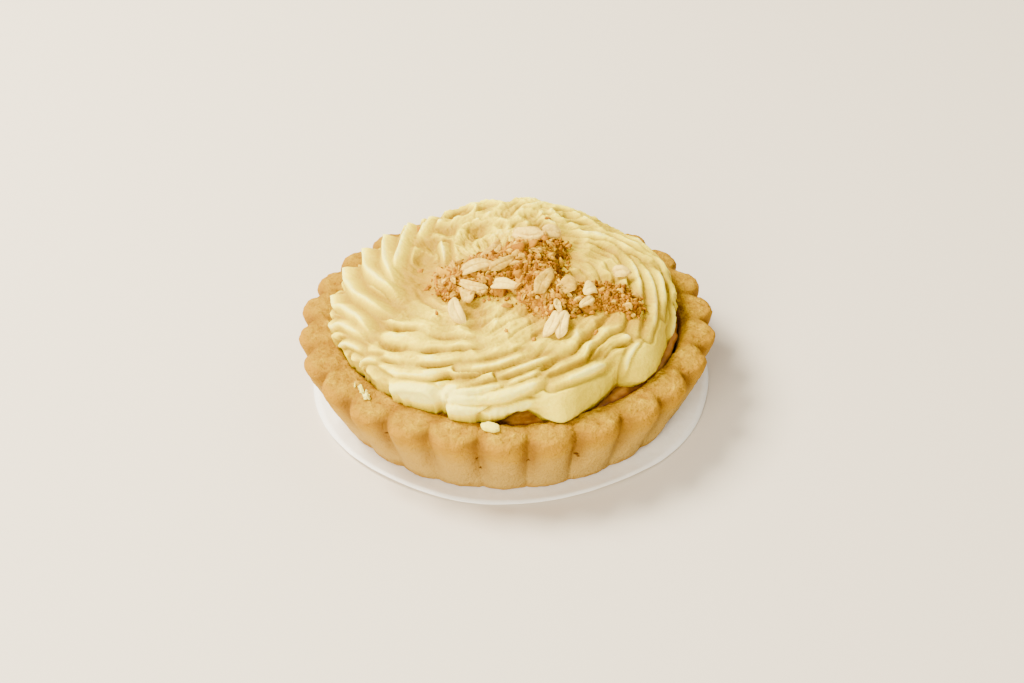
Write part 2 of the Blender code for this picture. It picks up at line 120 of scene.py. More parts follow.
# Metres along the crust's side for each degree
SIDE_ARC = 0.00078

# Filling
FILLING_TOP = 0.0161
FILLING_OUTLINE = [(0.0365, 0.0060), (0.0393, 0.0146), (0.0394, 0.0154), (0.0388, FILLING_TOP),
                   (0.0350, 0.0162), (0.0200, FILLING_TOP), (0.0010, FILLING_TOP)]
FILLING_ROWS = 60
FILLING_STEPS = 420
FILLING_LUMPS = 0.0004
FILLING_SINK = 0.0002

# What the cream lies on, from the axis outward: (radius, height)
SUPPORT = [(0, FILLING_TOP), (0.0391, FILLING_TOP), (0.0400, 0.0170), (0.0406, 0.0173),
           (0.0418, 0.0179), (0.0450, 0.0183), (0.0480, RIM_HEIGHT)]

# Cream dome and its ridges
CREAM_EDGE_RADIUS = 0.0410
CREAM_WIDEST_HEIGHT = 0.0206
CREAM_DOME = 0.0094
CREAM_DOME_POWER = 2.6
CREAM_EDGE_POWER = 0.45
CREAM_STEPS = 880
CREAM_ROWS = 112
# How far the coarse rows under the heap run, and their share of all rows
CREAM_COARSE_RUN = 0.0130
CREAM_COARSE_SHARE = 0.14
# Rows below the edge: (radius, height), and their tone
CREAM_FOOT = [(0.0403, 0.0181), (0.0385, 0.0166)]
CREAM_FOOT_TONE = 0.5
RIDGE_PITCH = 0.0044
RIDGE_ARMS = 23
RIDGE_DEPTH = 0.0019
RIDGE_CREST_SHARE = 0.66
RIDGE_LEVEL = 0.68
# Relief over which the tone goes from the valleys' painted shade to the crests' painted highlight
TONE_DEPTH = 0.0018
STREAK_WIDTH = 0.16
STREAK_LENGTH = 0.0065
# How fast the ridges run inward: (angle, millimetres of run for each degree)
INWARD_RATES = [(0, 0.12), (40, 0.30), (80, 0.50), (120, 0.40), (150, 0.31), (190, 0.31),
                (215, 0.22), (250, 0.20), (300, 0.20), (330, 0.13)]
# Where ridges are wider or narrower: (angle, half width in degrees, ridges less in each millimetre)
PITCH_ZONES = [(168, 38, 0.084), (5, 34, -0.060)]
# Zones of long ridges, soft billows, froth, and the lit lobe area painted pale: (angle, half width in
# degrees)
LEFT_ZONE = (175, 38)
FLUFFY_ZONE = (100, 52)
FROTHY_BACK = (95, 45)
FROTHY_FRONT = (250, 40)
LIT_LOBE_ZONE = (252, 26)
# The cream's edge as seen from above: (angle, radius), in millimetres
EDGE_LINE = [(3, 40.9), (20, 41.4), (60, 41.0), (110, 41.0), (114, 40.2), (119, 41.3), (123.5, 40.0),
             (128, 41.5), (133.5, 39.8), (138.5, 41.7), (143, 39.8), (147.5, 42.0), (154, 39.5),
             (160.5, 42.1), (169.5, 39.7), (178, 42.4), (183.5, 40.8), (188.5, 42.9), (192, 41.2),
             (196, 42.1), (201, 41.3), (206, 41.5), (211, 40.6), (213.5, 40.0), (216.5, 41.6),
             (223, 41.4), (228, 39.9), (230.5, 41.5), (234, 41.6), (240, 41.2), (244.6, 40.8),
             (246.4, 39.0), (248.4, 38.4), (249.8, 39.6), (251, 41.8), (254, 42.0), (260, 41.5),
             (265, 41.0), (270, 40.4), (275, 40.0), (279, 40.2), (282, 41.4), (284.5, 43.0),
             (286.5, 43.9), (289, 43.1), (292, 42.2), (295, 41.0), (302.5, 39.4), (307.5, 38.3),
             (312.5, 37.0), (314.5, 37.8), (316.5, 39.6), (319, 41.4), (327, 41.4), (334.5, 40.2),
             (342.5, 39.8), (347, 40.2), (354, 40.2)]
# Radii from which the dome stretches out to that line, and angles past which the line is smoothed
EDGE_BLEND_RADII = (0.030, 0.0395)
EDGE_SMOOTHED = (262, 270)
# Angles between which the edge lies on the rim: start, full part and end
SEATED = (198, 208, 263, 268)
SEATED_INSET = 0.0009
# Where the edge hangs free over the filling: (angle, half width in degrees), and its undercut
FREE_EDGE = (275, 6)
FREE_EDGE_INSET = 0.0026
# Where the edge is a smooth flap that reaches down: angles of its start, full part and end
FLAP = (277, 283, 345, 353)
# Runs over which the flap turns smooth, where it starts to bend down, and its height over the rim
FLAP_SMOOTH_RUNS = (0.0370, 0.0390)
FLAP_BEND_RUN = 0.0395
FLAP_LIFT = 0.0006
# A hollow between the bold ridges and the heap: (half width, depth, points), in millimetres
HOLLOW = (2.6, 1.3, [(-18.5, 16.0), (-20.0, 9.0), (-20.2, 2.0), (-19.0, -5.0)])
# The cream stands higher at the back: (angle, half width in degrees), its height and where it rises
BACK_HUMP = (84, 24)
BACK_HUMP_HEIGHT = 0.0022
BACK_HUMP_RADII = (0.012, 0.032)
# Ridges that stand out, each from its outer end inward: (half width, height, points), in millimetres
BOLD_RIDGES = [
    (2.2, 1.3, [(-18.6, 33.5), (-20.8, 24.1), (-20.8, 17.2)]),
    (2.4, 2.2, [(-23.8, 30.5), (-25.7, 17.2), (-26.6, 8.9), (-25.8, -0.3)]),
    (2.6, 2.8, [(-29.8, 26.0), (-29.7, 16.8), (-29.1, 9.8), (-26.8, 0.9), (-25.3, -5.6)]),
    (2.8, 3.2, [(-34.6, 22.0), (-34.3, 16.3), (-33.7, 9.1), (-30.4, 2.0), (-27.1, -2.8),
                (-24.8, -7.3), (-21.0, -10.3)]),
    (2.8, 3.2, [(-38.8, 13.0), (-38.2, 7.0), (-36.3, -0.5), (-31.4, -7.6), (-27.7, -11.4),
                (-22.4, -15.0)]),
    (2.6, 3.0, [(-41.0, 1.0), (-40.0, -3.2), (-36.9, -7.9), (-34.1, -11.9), (-31.7, -16.9),
                (-28.5, -21.0)]),
    (2.2, 2.4, [(-41.6, -7.5), (-38.9, -10.5), (-34.9, -15.5), (-30.9, -19.4)]),
    (1.5, 1.8, [(-38.6, -15.0), (-35.9, -18.2), (-31.8, -22.0)]),
    (1.5, 1.8, [(-36.0, -20.4), (-32.3, -24.0), (-27.7, -26.7)]),
    (1.8, 1.8, [(-15.6, 15.5), (-14.8, 8.7), (-14.6, 2.9)]),
    (2.0, 1.9, [(-31.6, -26.5), (-26.5, -32.1), (-17.3, -36.0), (-8.1, -36.7), (-3.8, -35.5)]),
    (1.8, 1.3, [(-27.0, -33.0), (-22.6, -35.8), (-17.4, -37.9), (-13.9, -38.8)]),
    (2.2, 1.4, [(-12.6, -38.6), (-9.5, -39.4), (-5.0, -39.6), (-1.0, -39.2), (3.0, -38.0)]),
    (2.4, 2.6, [(-6.0, -39.6), (-2.0, -39.4), (1.5, -38.6), (4.6, -37.6), (8.0, -36.2), (11.5, -34.4)]),
    (1.5, 1.8, [(-12.8, -37.6), (-8.1, -38.2), (-2.7, -37.4), (2.2, -35.2)]),
    (2.3, 2.7, [(10.6, -37.0), (14.4, -35.2), (18.7, -32.0), (22.6, -28.6), (25.0, -25.5)]),
    (1.3, 1.6, [(-0.5, -37.0), (2.9, -35.6), (6.0, -34.4), (8.9, -32.2)]),
    (1.3, 1.6, [(-1.6, -34.6), (2.9, -33.0), (8.6, -30.4), (12.5, -27.6)]),
    (1.6, 1.0, [(-10.5, -32.3), (-3.8, -32.2), (1.9, -30.1), (7.6, -26.8)]),
    (1.2, 0.8, [(26.6, -28.8), (27.6, -26.4), (29.0, -23.8), (30.6, -21.4), (32.0, -19.0)]),
    (2.2, 1.5, [(37.0, -8.5), (37.4, -1.9), (36.8, 5.4), (34.1, 12.6)]),
    (2.0, 1.4, [(33.1, -18.6), (34.8, -10.4), (35.0, -0.9), (33.3, 7.1), (29.5, 15.0)]),
    (2.0, 1.3, [(30.0, -19.0), (31.4, -9.8), (31.6, 0.1), (29.9, 9.3), (25.0, 18.0)]),
    (1.3, 1.1, [(38.3, -12.0), (39.6, -6.5), (39.3, -1.0)]),
]
BOLD_POINTS = 48
HOLLOW_POINTS = 24

# Crumble heap, close to the solids' one: mounds as (x, y, radius, height), in millimetres
MOUNDS = np.array([(-9.0, -2.2, 7.4, 3.4), (-3.0, -0.4, 8.2, 4.4), (4.5, 2.6, 9.0, 5.0),
                   (8.0, 9.8, 6.8, 3.6), (8.8, -7.2, 6.6, 4.0), (12.2, -11.4, 5.8, 3.4),
                   (17.2, -9.2, 5.4, 2.6), (-12.0, -5.2, 3.6, 1.8), (24.0, -8.2, 5.2, 2.1),
                   (28.6, -10.4, 3.8, 1.5)]) * MM
MOUND_SINK = 0.0012
# The sheet over the heap's core: its cell, its reach in x and y, and how deep it dips into the cream
HEAP_CELL = 0.00034
HEAP_X = (-0.020, 0.036)
HEAP_Y = (-0.024, 0.022)
HEAP_SINK = 0.0022
HEAP_WOBBLE = 0.0014
HEAP_ROUGHNESS = 0.0008
# The heap's right-hand tail has smaller and darker crumbs: x from and to
TAIL_X = (0.014, 0.019)
# Two kinds of crumb: how many, how often and how far they lie outside the mounds, the usual radius,
# its variety and its limits, what is lost of it on the tail, how high they stand in their own radii,
# and how much of their tint goes by patches and by height, beside its random part; the part by height
# is painted light on higher crumbs and painted shade on lower ones
COARSE_CRUMBS = {"count": 2450, "outlying": 0.12, "spread": 0.12, "radius": 0.00034, "variety": 0.42,
                 "radii": (0.00020, 0.0009), "tail_loss": 0.5, "rises": (-0.6, 1.0),
                 "patchiness": 0.35, "painted_light_by_height": 0.14, "shades": (2.2, 2.0)}
FINE_CRUMBS = {"count": 9900, "outlying": 0.22, "spread": 0.25, "radius": 0.00022, "variety": 0.35,
               "radii": (0.00012, 0.0005), "tail_loss": 0.0, "rises": (-0.2, 1.8),
               "patchiness": 0.30, "painted_light_by_height": 0.08, "shades": (1.8, 1.8)}
# Broken bits of oat flake, and their lengths in millimetres
FRAGMENTS = 150
FRAGMENT_LENGTHS = (1.1, 3.0)
# Oat flakes: (x, y, heading, tilt, roll, length, width, rise, tone), lengths in millimetres
FLAKES = [(5.4, 11.8, -12, 6, 55, 7.8, 4.2, 1.6, 0.80),
          (6.6, 16.0, 8, -8, 24, 4.4, 2.8, 1.2, 0.45),
          (11.2, 14.0, 10, -6, 48, 5.2, 3.6, 1.5, 0.70),
          (-3.4, 5.4, 60, 16, 34, 8.8, 3.3, 1.6, 0.40),
          (-6.8, -3.0, 22, 8, 30, 8.0, 3.2, 1.6, 0.60),
          (-0.8, -2.0, 42, 8, 40, 7.6, 2.7, 1.6, 0.40),
          (-0.4, -7.5, -3, 4, 24, 7.2, 3.1, 1.5, 0.85),
          (-7.8, -7.3, -14, -4, 36, 7.2, 2.4, 1.4, 0.60),
          (-9.2, -9.6, 80, 16, 4, 4.2, 3.4, 1.3, 0.50),
          (-11.2, -15.6, 112, 24, 2, 7.8, 3.6, 1.4, 0.90),
          (9.0, -9.8, 68, 14, 24, 8.8, 3.6, 1.8, 0.35),
          (14.4, -10.0, 10, 4, 24, 4.8, 4.6, 1.4, 0.25),
          (19.6, -10.3, 26, -8, 28, 3.8, 3.4, 1.5, 0.90),
          (18.7, -13.1, 50, 12, 18, 4.6, 2.2, 1.3, 0.65),
          (12.0, -15.8, 96, 14, 18, 4.6, 1.8, 1.4, 0.60),
          (10.3, -20.8, 72, 20, -8, 7.8, 3.2, 1.4, 0.85),
          (12.9, -20.9, 80, 20, 8, 8.0, 3.2, 1.5, 0.90),
          (27.5, 0.8, 14, 6, 30, 4.4, 3.3, 1.0, 0.75)]
# Crumbs that lie apart: (x, y, radius, tint), lengths in millimetres
STRAY_CRUMBS = [(10.2, 20.5, 0.6, 0.35), (10.6, 24.5, 0.6, 0.35),
                (-0.1, -22.2, 0.8, 0.75), (0.2, -12.8, 0.6, 0.9),
                (-21.4, 26.2, 0.6, 0.6), (-20.5, 5.2, 0.6, 0.6),
                (-18.8, -3.0, 0.5, 0.5), (6.2, -24.8, 0.6, 0.7),
                (20.5, -20.5, 0.6, 0.6), (-16.0, -15.0, 0.5, 0.5)]

# Oat flake: rings and steps, half of its thickness in the middle and at the edge, and its crease
FLAKE_RINGS = 7
FLAKE_STEPS = 34
FLAKE_THICKNESS = 0.00046
FLAKE_EDGE = 0.00003
FLAKE_CREASE = 0.00024

# Cream drop: its size, heading and sink, and the share of its half height where it is cut flat
DROP_SIZE = (0.0046, 0.0028, 0.0018)
DROP_HEADING = -25
DROP_SINK = 0.0004
DROP_FLAT = -0.62
# Tone of the drop and of the small bits of cream
BIT_TONE = 0.97
# Bits of cream on the left of the rim: (angle, radius from the axis, own radius)
CREAM_BITS = [(219.5, 0.0436, 0.0007), (221.0, 0.0441, 0.0006), (222.3, 0.0437, 0.0005),
              (223.8, 0.0444, 0.0006), (217.4, 0.0440, 0.0004)]

# Paper round
PAPER_RADIUS = 0.0484
PAPER_CENTRE = (0.0008, 0.0006)
PAPER_THICKNESS = 0.0004
PAPER_FLAT_RADIUS = 0.042
PAPER_LIFTS = (0.0004, 0.0012)
PAPER_ROWS = 26
PAPER_STEPS = 360


def noise(points, size, seed):
    """Smooth gradient noise, about -1 to 1, at points in metres, with lumps of this size."""
    draw = np.random.default_rng(seed)
    slopes = draw.normal(size=(NOISE_CELLS, NOISE_CELLS, NOISE_CELLS, 3))
    slopes /= np.linalg.norm(slopes, axis=-1, keepdims=True)
    spot = np.asarray(points, float) / size + NOISE_START
    corner = np.floor(spot).astype(int)
    share = spot - corner
    ease = share ** 3 * (share * (share * 6 - 15) + 10)
    total = 0
    for step in np.ndindex(2, 2, 2):
        index = (corner + step) % NOISE_CELLS
        slope = slopes[index[..., 0], index[..., 1], index[..., 2]]
        weight = np.prod(np.where(step, ease, 1 - ease), axis=-1)
        total = total + weight * ((share - step) * slope).sum(-1)
    return total * NOISE_STRENGTH


def rough(points, size, seed, octaves=3):
    """Noise of several sizes, each half as large and half as strong as the one before."""
    return sum(noise(points, size / 2 ** k, seed + k) / 2 ** k for k in range(octaves))


def smooth(value, low, high):
    """0 below low and 1 above high, with a soft step between."""
    share = np.clip((value - low) / (high - low), 0, 1)
    return share * share * (3 - 2 * share)


def bump(degrees, centre, half_width):
    """A bell round one direction: 1 at the centre."""
    away = (degrees - centre + 180.0) % 360.0 - 180.0
    return np.exp(-(away / half_width) ** 2)


def plateau(value, start, full, last, gone):
    """1 from full to last, and 0 up to the start and from gone on."""
    return smooth(value, start, full) * (1 - smooth(value, last, gone))


def so_far(steps):
    """The sum of all steps up to each point of a line, from 0."""
    return np.concatenate([[0], np.cumsum(steps)])


def full_circle(steps):
    """Evenly spaced angles, as one row."""
    return np.arange(steps)[None] * 360.0 / steps


def around(radius, degrees, height):
    """Points from cylinder coordinates."""
    angle = np.radians(degrees)
    return np.stack(np.broadcast_arrays(radius * np.cos(angle), radius * np.sin(angle), height), -1)


def curve_through(points, count):
    """A smooth line of evenly spaced points through an outline's points."""
    known = np.array(points)
    padded = np.vstack([2 * known[0] - known[1], known, 2 * known[-1] - known[-2]])
    a, b, c, d = [padded[k:k + len(known) - 1, None] for k in range(4)]
    t = np.linspace(0, 1, CURVE_STEPS, endpoint=False)[:, None]
    line = b + 0.5 * t * (c - a + t * (2 * a - 5 * b + 4 * c - d + t * (3 * (b - c) + d - a)))
    line = np.vstack([line.reshape(-1, 2), known[-1]])
    run = so_far(np.linalg.norm(np.diff(line, axis=0), axis=1))
    at = np.linspace(0, run[-1], count)
    return np.stack([np.interp(at, run, line[:, k]) for k in range(2)], -1)


def show(name, vertices, faces):
    """A mesh in the scene, shaded smooth."""
    mesh = bpy.data.meshes.new(name)
    mesh.from_pydata(vertices.tolist(), [], faces)
    mesh.validate()
    mesh.shade_smooth()
    obj = bpy.data.objects.new(name, mesh)
    bpy.context.scene.collection.objects.link(obj)
    return obj


def carry(obj, name, values):
    """Store a named value for each vertex, or one value for all of them."""
    flat = np.broadcast_to(values, len(obj.data.vertices)).astype(np.float32)
    obj.data.attributes.new(name, "FLOAT", "POINT").data.foreach_set("value", flat)


def place(obj, material, slot, *nodes):
    """Give a piece its material and the solids that it stands for; the slot is not used."""
    obj.data.materials.append(material)
    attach(obj, "root")
    if nodes:
        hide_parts(*nodes)


def ring_faces(rows, steps, from_top=False):
    """Quads and triangles of a closed surface of rings; its two end points are numbered last.

    The rings go up the outside from the bottom or, with from_top, outward and down from the top.
    """
    row, step = np.meshgrid(np.arange(rows - 1), np.arange(steps), indexing="ij")
    here = row * steps + step
    beside = row * steps + (step + 1) % steps
    quads = np.stack([here, beside, beside + steps, here + steps], -1).reshape(-1, 4)
    turn = np.arange(steps)
    after = (turn + 1) % steps
    last_ring = (rows - 1) * steps
    end_point = np.full(steps, rows * steps)
    fans = np.vstack([np.stack([end_point, after, turn], -1),
                      np.stack([end_point + 1, last_ring + turn, last_ring + after], -1)])
    return (quads[:, [0, 3, 2, 1]], fans[:, [0, 2, 1]]) if from_top else (quads, fans)


def ring_surface(name, rings, ends, from_top=False, centre=(0, 0), **values):
    """A closed surface of rings round a centre, with end points at two heights.

    The mesh carries the values, which are 0 at both end points.
    """
    rows, steps = rings.shape[:2]
    quads, fans = ring_faces(rows, steps, from_top)
    points = [(*centre, height) for height in ends]
    obj = show(name, np.vstack([rings.reshape(-1, 3), points]), quads.tolist() + fans.tolist())
    for key, value in values.items():
        carry(obj, key, np.append(np.broadcast_to(value, (rows, steps)), [0, 0]))
    return obj


class Finish:
    """A Principled material and short calls to wire its nodes."""

    def __init__(self, name, **constants):
        self.material = bpy.data.materials.new(name)
        self.material.use_nodes = True
        self.tree = self.material.node_tree
        self.shader = self.tree.nodes["Principled BSDF"]
        for key, value in constants.items():
            self.set(key.replace("_", " "), value)

    def feed(self, socket, value):
        """Wire another node's output to a socket, or give it a number or a colour."""
        if isinstance(value, bpy.types.NodeSocket):
            self.tree.links.new(value, socket)
        else:
            socket.default_value = (*value, 1) if socket.type == "RGBA" else value

    def set(self, key, value):
        """Feed one of the shader's sockets."""
        self.feed(self.shader.inputs[key], value)

    def node(self, kind, inputs, **settings):
        """A node with these inputs."""
        made = self.tree.nodes.new(kind)
        for key, value in settings.items():
            setattr(made, key, value)
        for key, value in inputs.items():
            self.feed(made.inputs[key], value)
        return made

    def value(self, name):
        """A named value that the mesh carries."""
        return self.node("ShaderNodeAttribute", {}, attribute_name=name).outputs["Fac"]

    def grain(self, size, detail=3.0, roughness=0.55):
        """Noise of this size in metres, in the object's own coordinates."""
        where = self.node("ShaderNodeTexCoord", {}).outputs["Object"]
        return self.node("ShaderNodeTexNoise", {"Vector": where, "Scale": 1 / size, "Detail": detail,
                                                "Roughness": roughness}).outputs["Fac"]

    def math(self, operation, a, b):
        """A number from two numbers."""
        return self.node("ShaderNodeMath", {0: a, 1: b}, operation=operation).outputs[0]

    def between(self, value, low, high):
        """0 to 1 as a value goes from low to high."""
        return self.node("ShaderNodeMapRange", {"Value": value, "From Min": low,
                                                "From Max": high}).outputs[0]

    def product(self, made, *others):
        """The product of some numbers."""
        for value in others:
            made = self.math("MULTIPLY", made, value)
        return made

    def total(self, *parts):
        """The sum of (number, weight) parts."""
        made = 0.0
        for value, weight in parts:
            made = self.math("ADD", made, self.product(value, weight))
        return made

    def centred(self, value):
        """A grain moved to lie round 0."""
        return self.math("SUBTRACT", value, 0.5)

    def ramp(self, value, stops):
        """A colour from a value, through (position, colour) stops."""
        made = self.node("ShaderNodeValToRGB", {"Fac": value})
        elements = made.color_ramp.elements
        for position, colour in stops[2:]:
            elements.new(position)
        for element, (position, colour) in zip(elements, stops):
            element.position = position
            element.color = (*colour, 1)
        return made.outputs["Color"]

    def blend(self, share, a, b):
        """From colour a to colour b, which are inputs 6 and 7 of the node; output 2 is a colour."""
        return self.node("ShaderNodeMix", {0: share, 6: a, 7: b}, data_type="RGBA").outputs[2]

    def bumps(self, *layers):
        """Stack bump layers of (height output, distance in metres, strength)."""
        below = {}
        for height, distance, strength in layers:
            made = self.node("ShaderNodeBump", {"Height": height, "Distance": distance,
                                                "Strength": strength, **below})
            below = {"Normal": made.outputs["Normal"]}
        self.set("Normal", below["Normal"])


def flute(degrees):
    """How deep the crust's side is folded in: 0 on a rib and 1 in the groove between two."""
    phase = (degrees - FIRST_RIB) * RIBS / 360.0
    return (np.abs(phase - np.round(phase)) * 2.0) ** FLUTE_POWER


def inner_shift(degrees):
    """How far outward the rim's inner edge lies at this angle."""
    return sum(far * bump(degrees, angle, width) for angle, width, far in INNER_SHIFTS)


def folded(radius, degrees, height, fold, on_rim, inner):
    """Radius and height of the crust's places once it is folded into uneven ribs."""
    up = np.clip(height / FLUTE_FULL_HEIGHT, 0, 1) ** FLUTE_RISE_POWER
    depth = FLUTE_DEPTHS[0] + (FLUTE_DEPTHS[1] - FLUTE_DEPTHS[0]) * up
    outside = np.where(on_rim, np.interp(radius, RIM_FOLD_RADII, [0, 1]), 1.0) * ~inner
    slow = rough(around(radius, degrees, height), 0.011, 11, 2)
    back = 0.5 + 0.5 * np.sin(np.radians(degrees))
    near_rim = smooth(height, *RIM_WAVE_HEIGHTS) * ~inner
    lift = (RIM_WAVE * slow - RIM_BACK_DROP * back - FLUTE_SINK * fold * outside) * near_rim
    own = noise(around(CREST_RADIUS, degrees, 0.0), 0.012, 17) * smooth(height, *RIB_UNEVEN_HEIGHTS)
    near_inside = on_rim * (1 - smooth(radius, RIM_INNER_RADIUS, RIM_FOLD_RADII[0]))
    new_radius = radius - depth * fold * outside + SIDE_WAVE * slow * ~on_rim
    new_radius = new_radius + RIB_UNEVENNESS * own * ~inner + inner_shift(degrees) * near_inside
    return new_radius, height + lift


def make_crust():
    """The fluted shell with its uneven, grainy rim."""
    outline = curve_through(CRUST_OUTLINE, CRUST_ROWS)
    radius, height = outline[:, :1], outline[:, 1:]
    degrees = full_circle(RIBS * CRUST_STEPS_PER_RIB)
    on_rim = np.arange(CRUST_ROWS)[:, None] > radius.argmax()
    inner = on_rim & (radius < RIM_INNER_RADIUS + 0.01 * MM)
    fold = flute(degrees + FLUTE_WANDER * noise(around(0.045, degrees, 0.01), 0.009, 13))
    new_radius, new_height = folded(radius, degrees, height, fold, on_rim, inner)

    points = around(new_radius, degrees, new_height)
    crumbly = rough(points, 0.0022, 21, 3)
    pits = np.minimum(rough(points, 0.0013, 31, 2) + 0.35, 0)
    grainy = smooth(height, *RIM_GRAIN_HEIGHTS) * ~inner
    push = GRAIN_HEIGHT * crumbly * (0.45 + 0.55 * grainy) + PIT_DEPTH * pits * (0.35 + 0.65 * grainy)
    push = push * ~inner
    along_r, along_z = np.gradient(radius, axis=0), np.gradient(height, axis=0)
    size = np.hypot(along_r, along_z)
    rings = around(new_radius + push * along_z / size, degrees, new_height - push * along_r / size + BASE_Z)

    burnt = sum(np.exp(-(((degrees - angle) * SIDE_ARC) ** 2 + (height - level) ** 2) / spot ** 2)
                for angle, level, spot in BURNT_SPOTS)
    burnt = burnt * (0.6 + 0.8 * noise(around(radius, degrees, height), 0.0006, 19)) * ~on_rim
    rim = on_rim * ~inner * (1 - smooth(radius, *RIM_LIGHT_RADII))
    obj = ring_surface("crust_shell", rings, rings[[0, -1], 0, 2], fold=fold, rim=rim, burnt=burnt,
                       level=height / RIM_HEIGHT, relief=0.5 + 0.5 * crumbly)
    place(obj, crust_finish(), "crust", "crust")
    return obj


def crust_finish():
    """Golden shortcrust: pale side, orange shoulder, and grooves darkened partly by browning and partly by
    painted shade.
    """
    look = Finish("crust_finish", Roughness=0.7, Specular_IOR_Level=0.06)
    broad = look.grain(0.012, 2.0)
    medium = look.grain(0.0032, 4.0, 0.6)
    fine = look.grain(0.0008, 5.0, 0.7)
    level = look.value("level")
    fold = look.value("fold")
    rim = look.value("rim")
    side = look.ramp(look.total((level, 1.0), (look.centred(medium), 0.30)),
                     [(0.0, (0.38, 0.195, 0.020)), (0.12, (0.49, 0.300, 0.055)),
                      (0.60, (0.48, 0.280, 0.030)), (0.80, (0.46, 0.238, 0.0)),
                      (0.92, (0.42, 0.198, 0.0))])
    top = look.ramp(look.total((look.value("relief"), 0.38), (fine, 0.90)),
                    [(0.36, (0.25, 0.098, 0.0)), (0.56, (0.36, 0.180, 0.0)),
                     (0.74, (0.43, 0.232, 0.0)), (0.94, (0.62, 0.385, 0.0))])
    colour = look.blend(rim, side, top)
    baked = look.product(look.between(fold, 0.20, 0.80), look.between(level, 0.84, 0.95),
                         look.between(medium, 0.25, 0.60), 0.80)
    colour = look.blend(baked, colour, (0.25, 0.108, 0.0))
    # Grooves darker in their middle band, partly from browning and partly as painted shade in the recess.
    groove = look.product(look.between(fold, 0.12, 0.62), look.between(level, 0.16, 0.66),
                          look.between(broad, 0.15, 0.5), look.math("SUBTRACT", 1.0, rim), 0.85)
    colour = look.blend(groove, colour, (0.25, 0.110, 0.006))
    colour = look.blend(look.between(look.value("burnt"), 0.20, 0.55), colour, (0.08, 0.025, 0.002))
    look.set("Base Color", colour)
    look.bumps((medium, 0.0008, 0.8), (fine, 0.0006, 1.0))
    return look.material


def make_filling():
    """The apple, tan on top, with a dark edge in the gap along the crust that is partly caramelised and
    partly painted shadow, and painted light where the gap is lit.
    """
    outline = curve_through(FILLING_OUTLINE, FILLING_ROWS)
    radius, height = outline[:, :1], outline[:, 1:]
    degrees = full_circle(FILLING_STEPS)
    lumps = rough(around(radius, degrees, height), 0.0036, 41, 3)
    top = smooth(height, 0.0140, 0.0158)
    outer = smooth(radius, 0.030, 0.038)
    wide = np.maximum(inner_shift(degrees), 0)
    rings = around(radius + (FILLING_LUMPS * lumps + wide) * outer, degrees,
                   height + FILLING_LUMPS * lumps * top - FILLING_SINK + BASE_Z)
    lit = bump(degrees, *LIT_GAP)
    # The gap's dark edge is partly caramelised apple and partly painted shadow; it is weaker at PALE_GAP and
    # mostly gone where the gap is lit.
    edge = smooth(radius, 0.0380, 0.0396) * (1 - 0.45 * bump(degrees, *PALE_GAP)) * (1 - 0.85 * lit)
    obj = ring_surface("apple_filling", rings, rings[[0, -1], 0, 2], lumps=0.5 + 0.5 * lumps,
                       edge=edge, lit=0.8 * lit)
    place(obj, filling_finish(), "apple_filling", "filling")


def filling_finish():
    """Moist cooked apple, with painted light where the gap is lit and a dark edge along the crust that is
    partly caramelised and partly painted shadow.
    """
    look = Finish("apple_finish", Roughness=0.55, Specular_IOR_Level=0.15)
    fine = look.grain(0.0011, 4.0)
    colour = look.ramp(look.total((look.value("lumps"), 0.6), (fine, 0.4)),
                       [(0.25, (0.08, 0.022, 0.001)), (0.50, (0.27, 0.105, 0.008)),
                        (0.75, (0.48, 0.240, 0.020))])
    # Painted light where the gap is lit, then the dark edge along the crust, partly caramelised and partly
    # painted shadow.
    colour = look.blend(look.value("lit"), colour, (0.58, 0.235, 0.012))
    look.set("Base Color", look.blend(look.value("edge"), colour, (0.12, 0.03, 0.004)))
    look.bumps((fine, 0.0004, 0.6))
    return look.material


def dome_height(radius):
    """Height of the cream's plain dome."""
    share = np.clip(radius / CREAM_EDGE_RADIUS, 0, 1)
    return CREAM_WIDEST_HEIGHT + CREAM_DOME * (1 - share ** CREAM_DOME_POWER) ** CREAM_EDGE_POWER


def dome_line():
    """Radius, height and run of the cream's rows, closer together outside the heap."""
    turn = np.linspace(math.pi / 2, 0, 4000)
    radius = CREAM_EDGE_RADIUS * np.cos(turn) ** 0.55
    radius[0] = 0
    height = dome_height(radius)
    run = so_far(np.hypot(np.diff(radius), np.diff(height)))
    at = np.interp(np.linspace(0, 1, CREAM_ROWS), [0, CREAM_COARSE_SHARE, 1],
                   [0, CREAM_COARSE_RUN, run[-1]])
    return np.interp(at, run, radius), np.interp(at, run, height), at


class CreamGrid:
    """Places on the cream's plain dome in rows and steps, and how much of each zone they have."""

    def __init__(self):
        radius, height, run = dome_line()
        normal_r = -np.gradient(height)
        normal_z = np.gradient(radius)
        size = np.hypot(normal_r, normal_z)
        self.radius, self.height, self.run, self.normal_r, self.normal_z = [
            line[1:, None] for line in (radius, height, run, normal_r / size, normal_z / size)]
        self.edge_run = run[-1]
        self.degrees = full_circle(CREAM_STEPS)
        self.plain = around(self.radius, self.degrees, self.height)
        self.flap = plateau(self.degrees, *FLAP)
        self.seated = plateau(self.degrees, *SEATED)
        self.skirt = self.flap * smooth(self.run, *FLAP_SMOOTH_RUNS)
        self.left = bump(self.degrees, *LEFT_ZONE)
        fluffy = np.clip(bump(self.degrees, *FLUFFY_ZONE) * 1.3, 0, 1)
        self.fluffy = fluffy * smooth(self.radius, 0.010, 0.020)
        front = bump(self.degrees, *FROTHY_FRONT) * smooth(self.run, 0.0425, 0.0370)
        frothy = bump(self.degrees, *FROTHY_BACK) + 0.3 * front + 0.15 + 0.5 * noise(self.plain, 0.009, 95)
        self.frothy = np.clip(frothy, 0, 1) * (1 - self.skirt) * (1 - 0.6 * self.left)


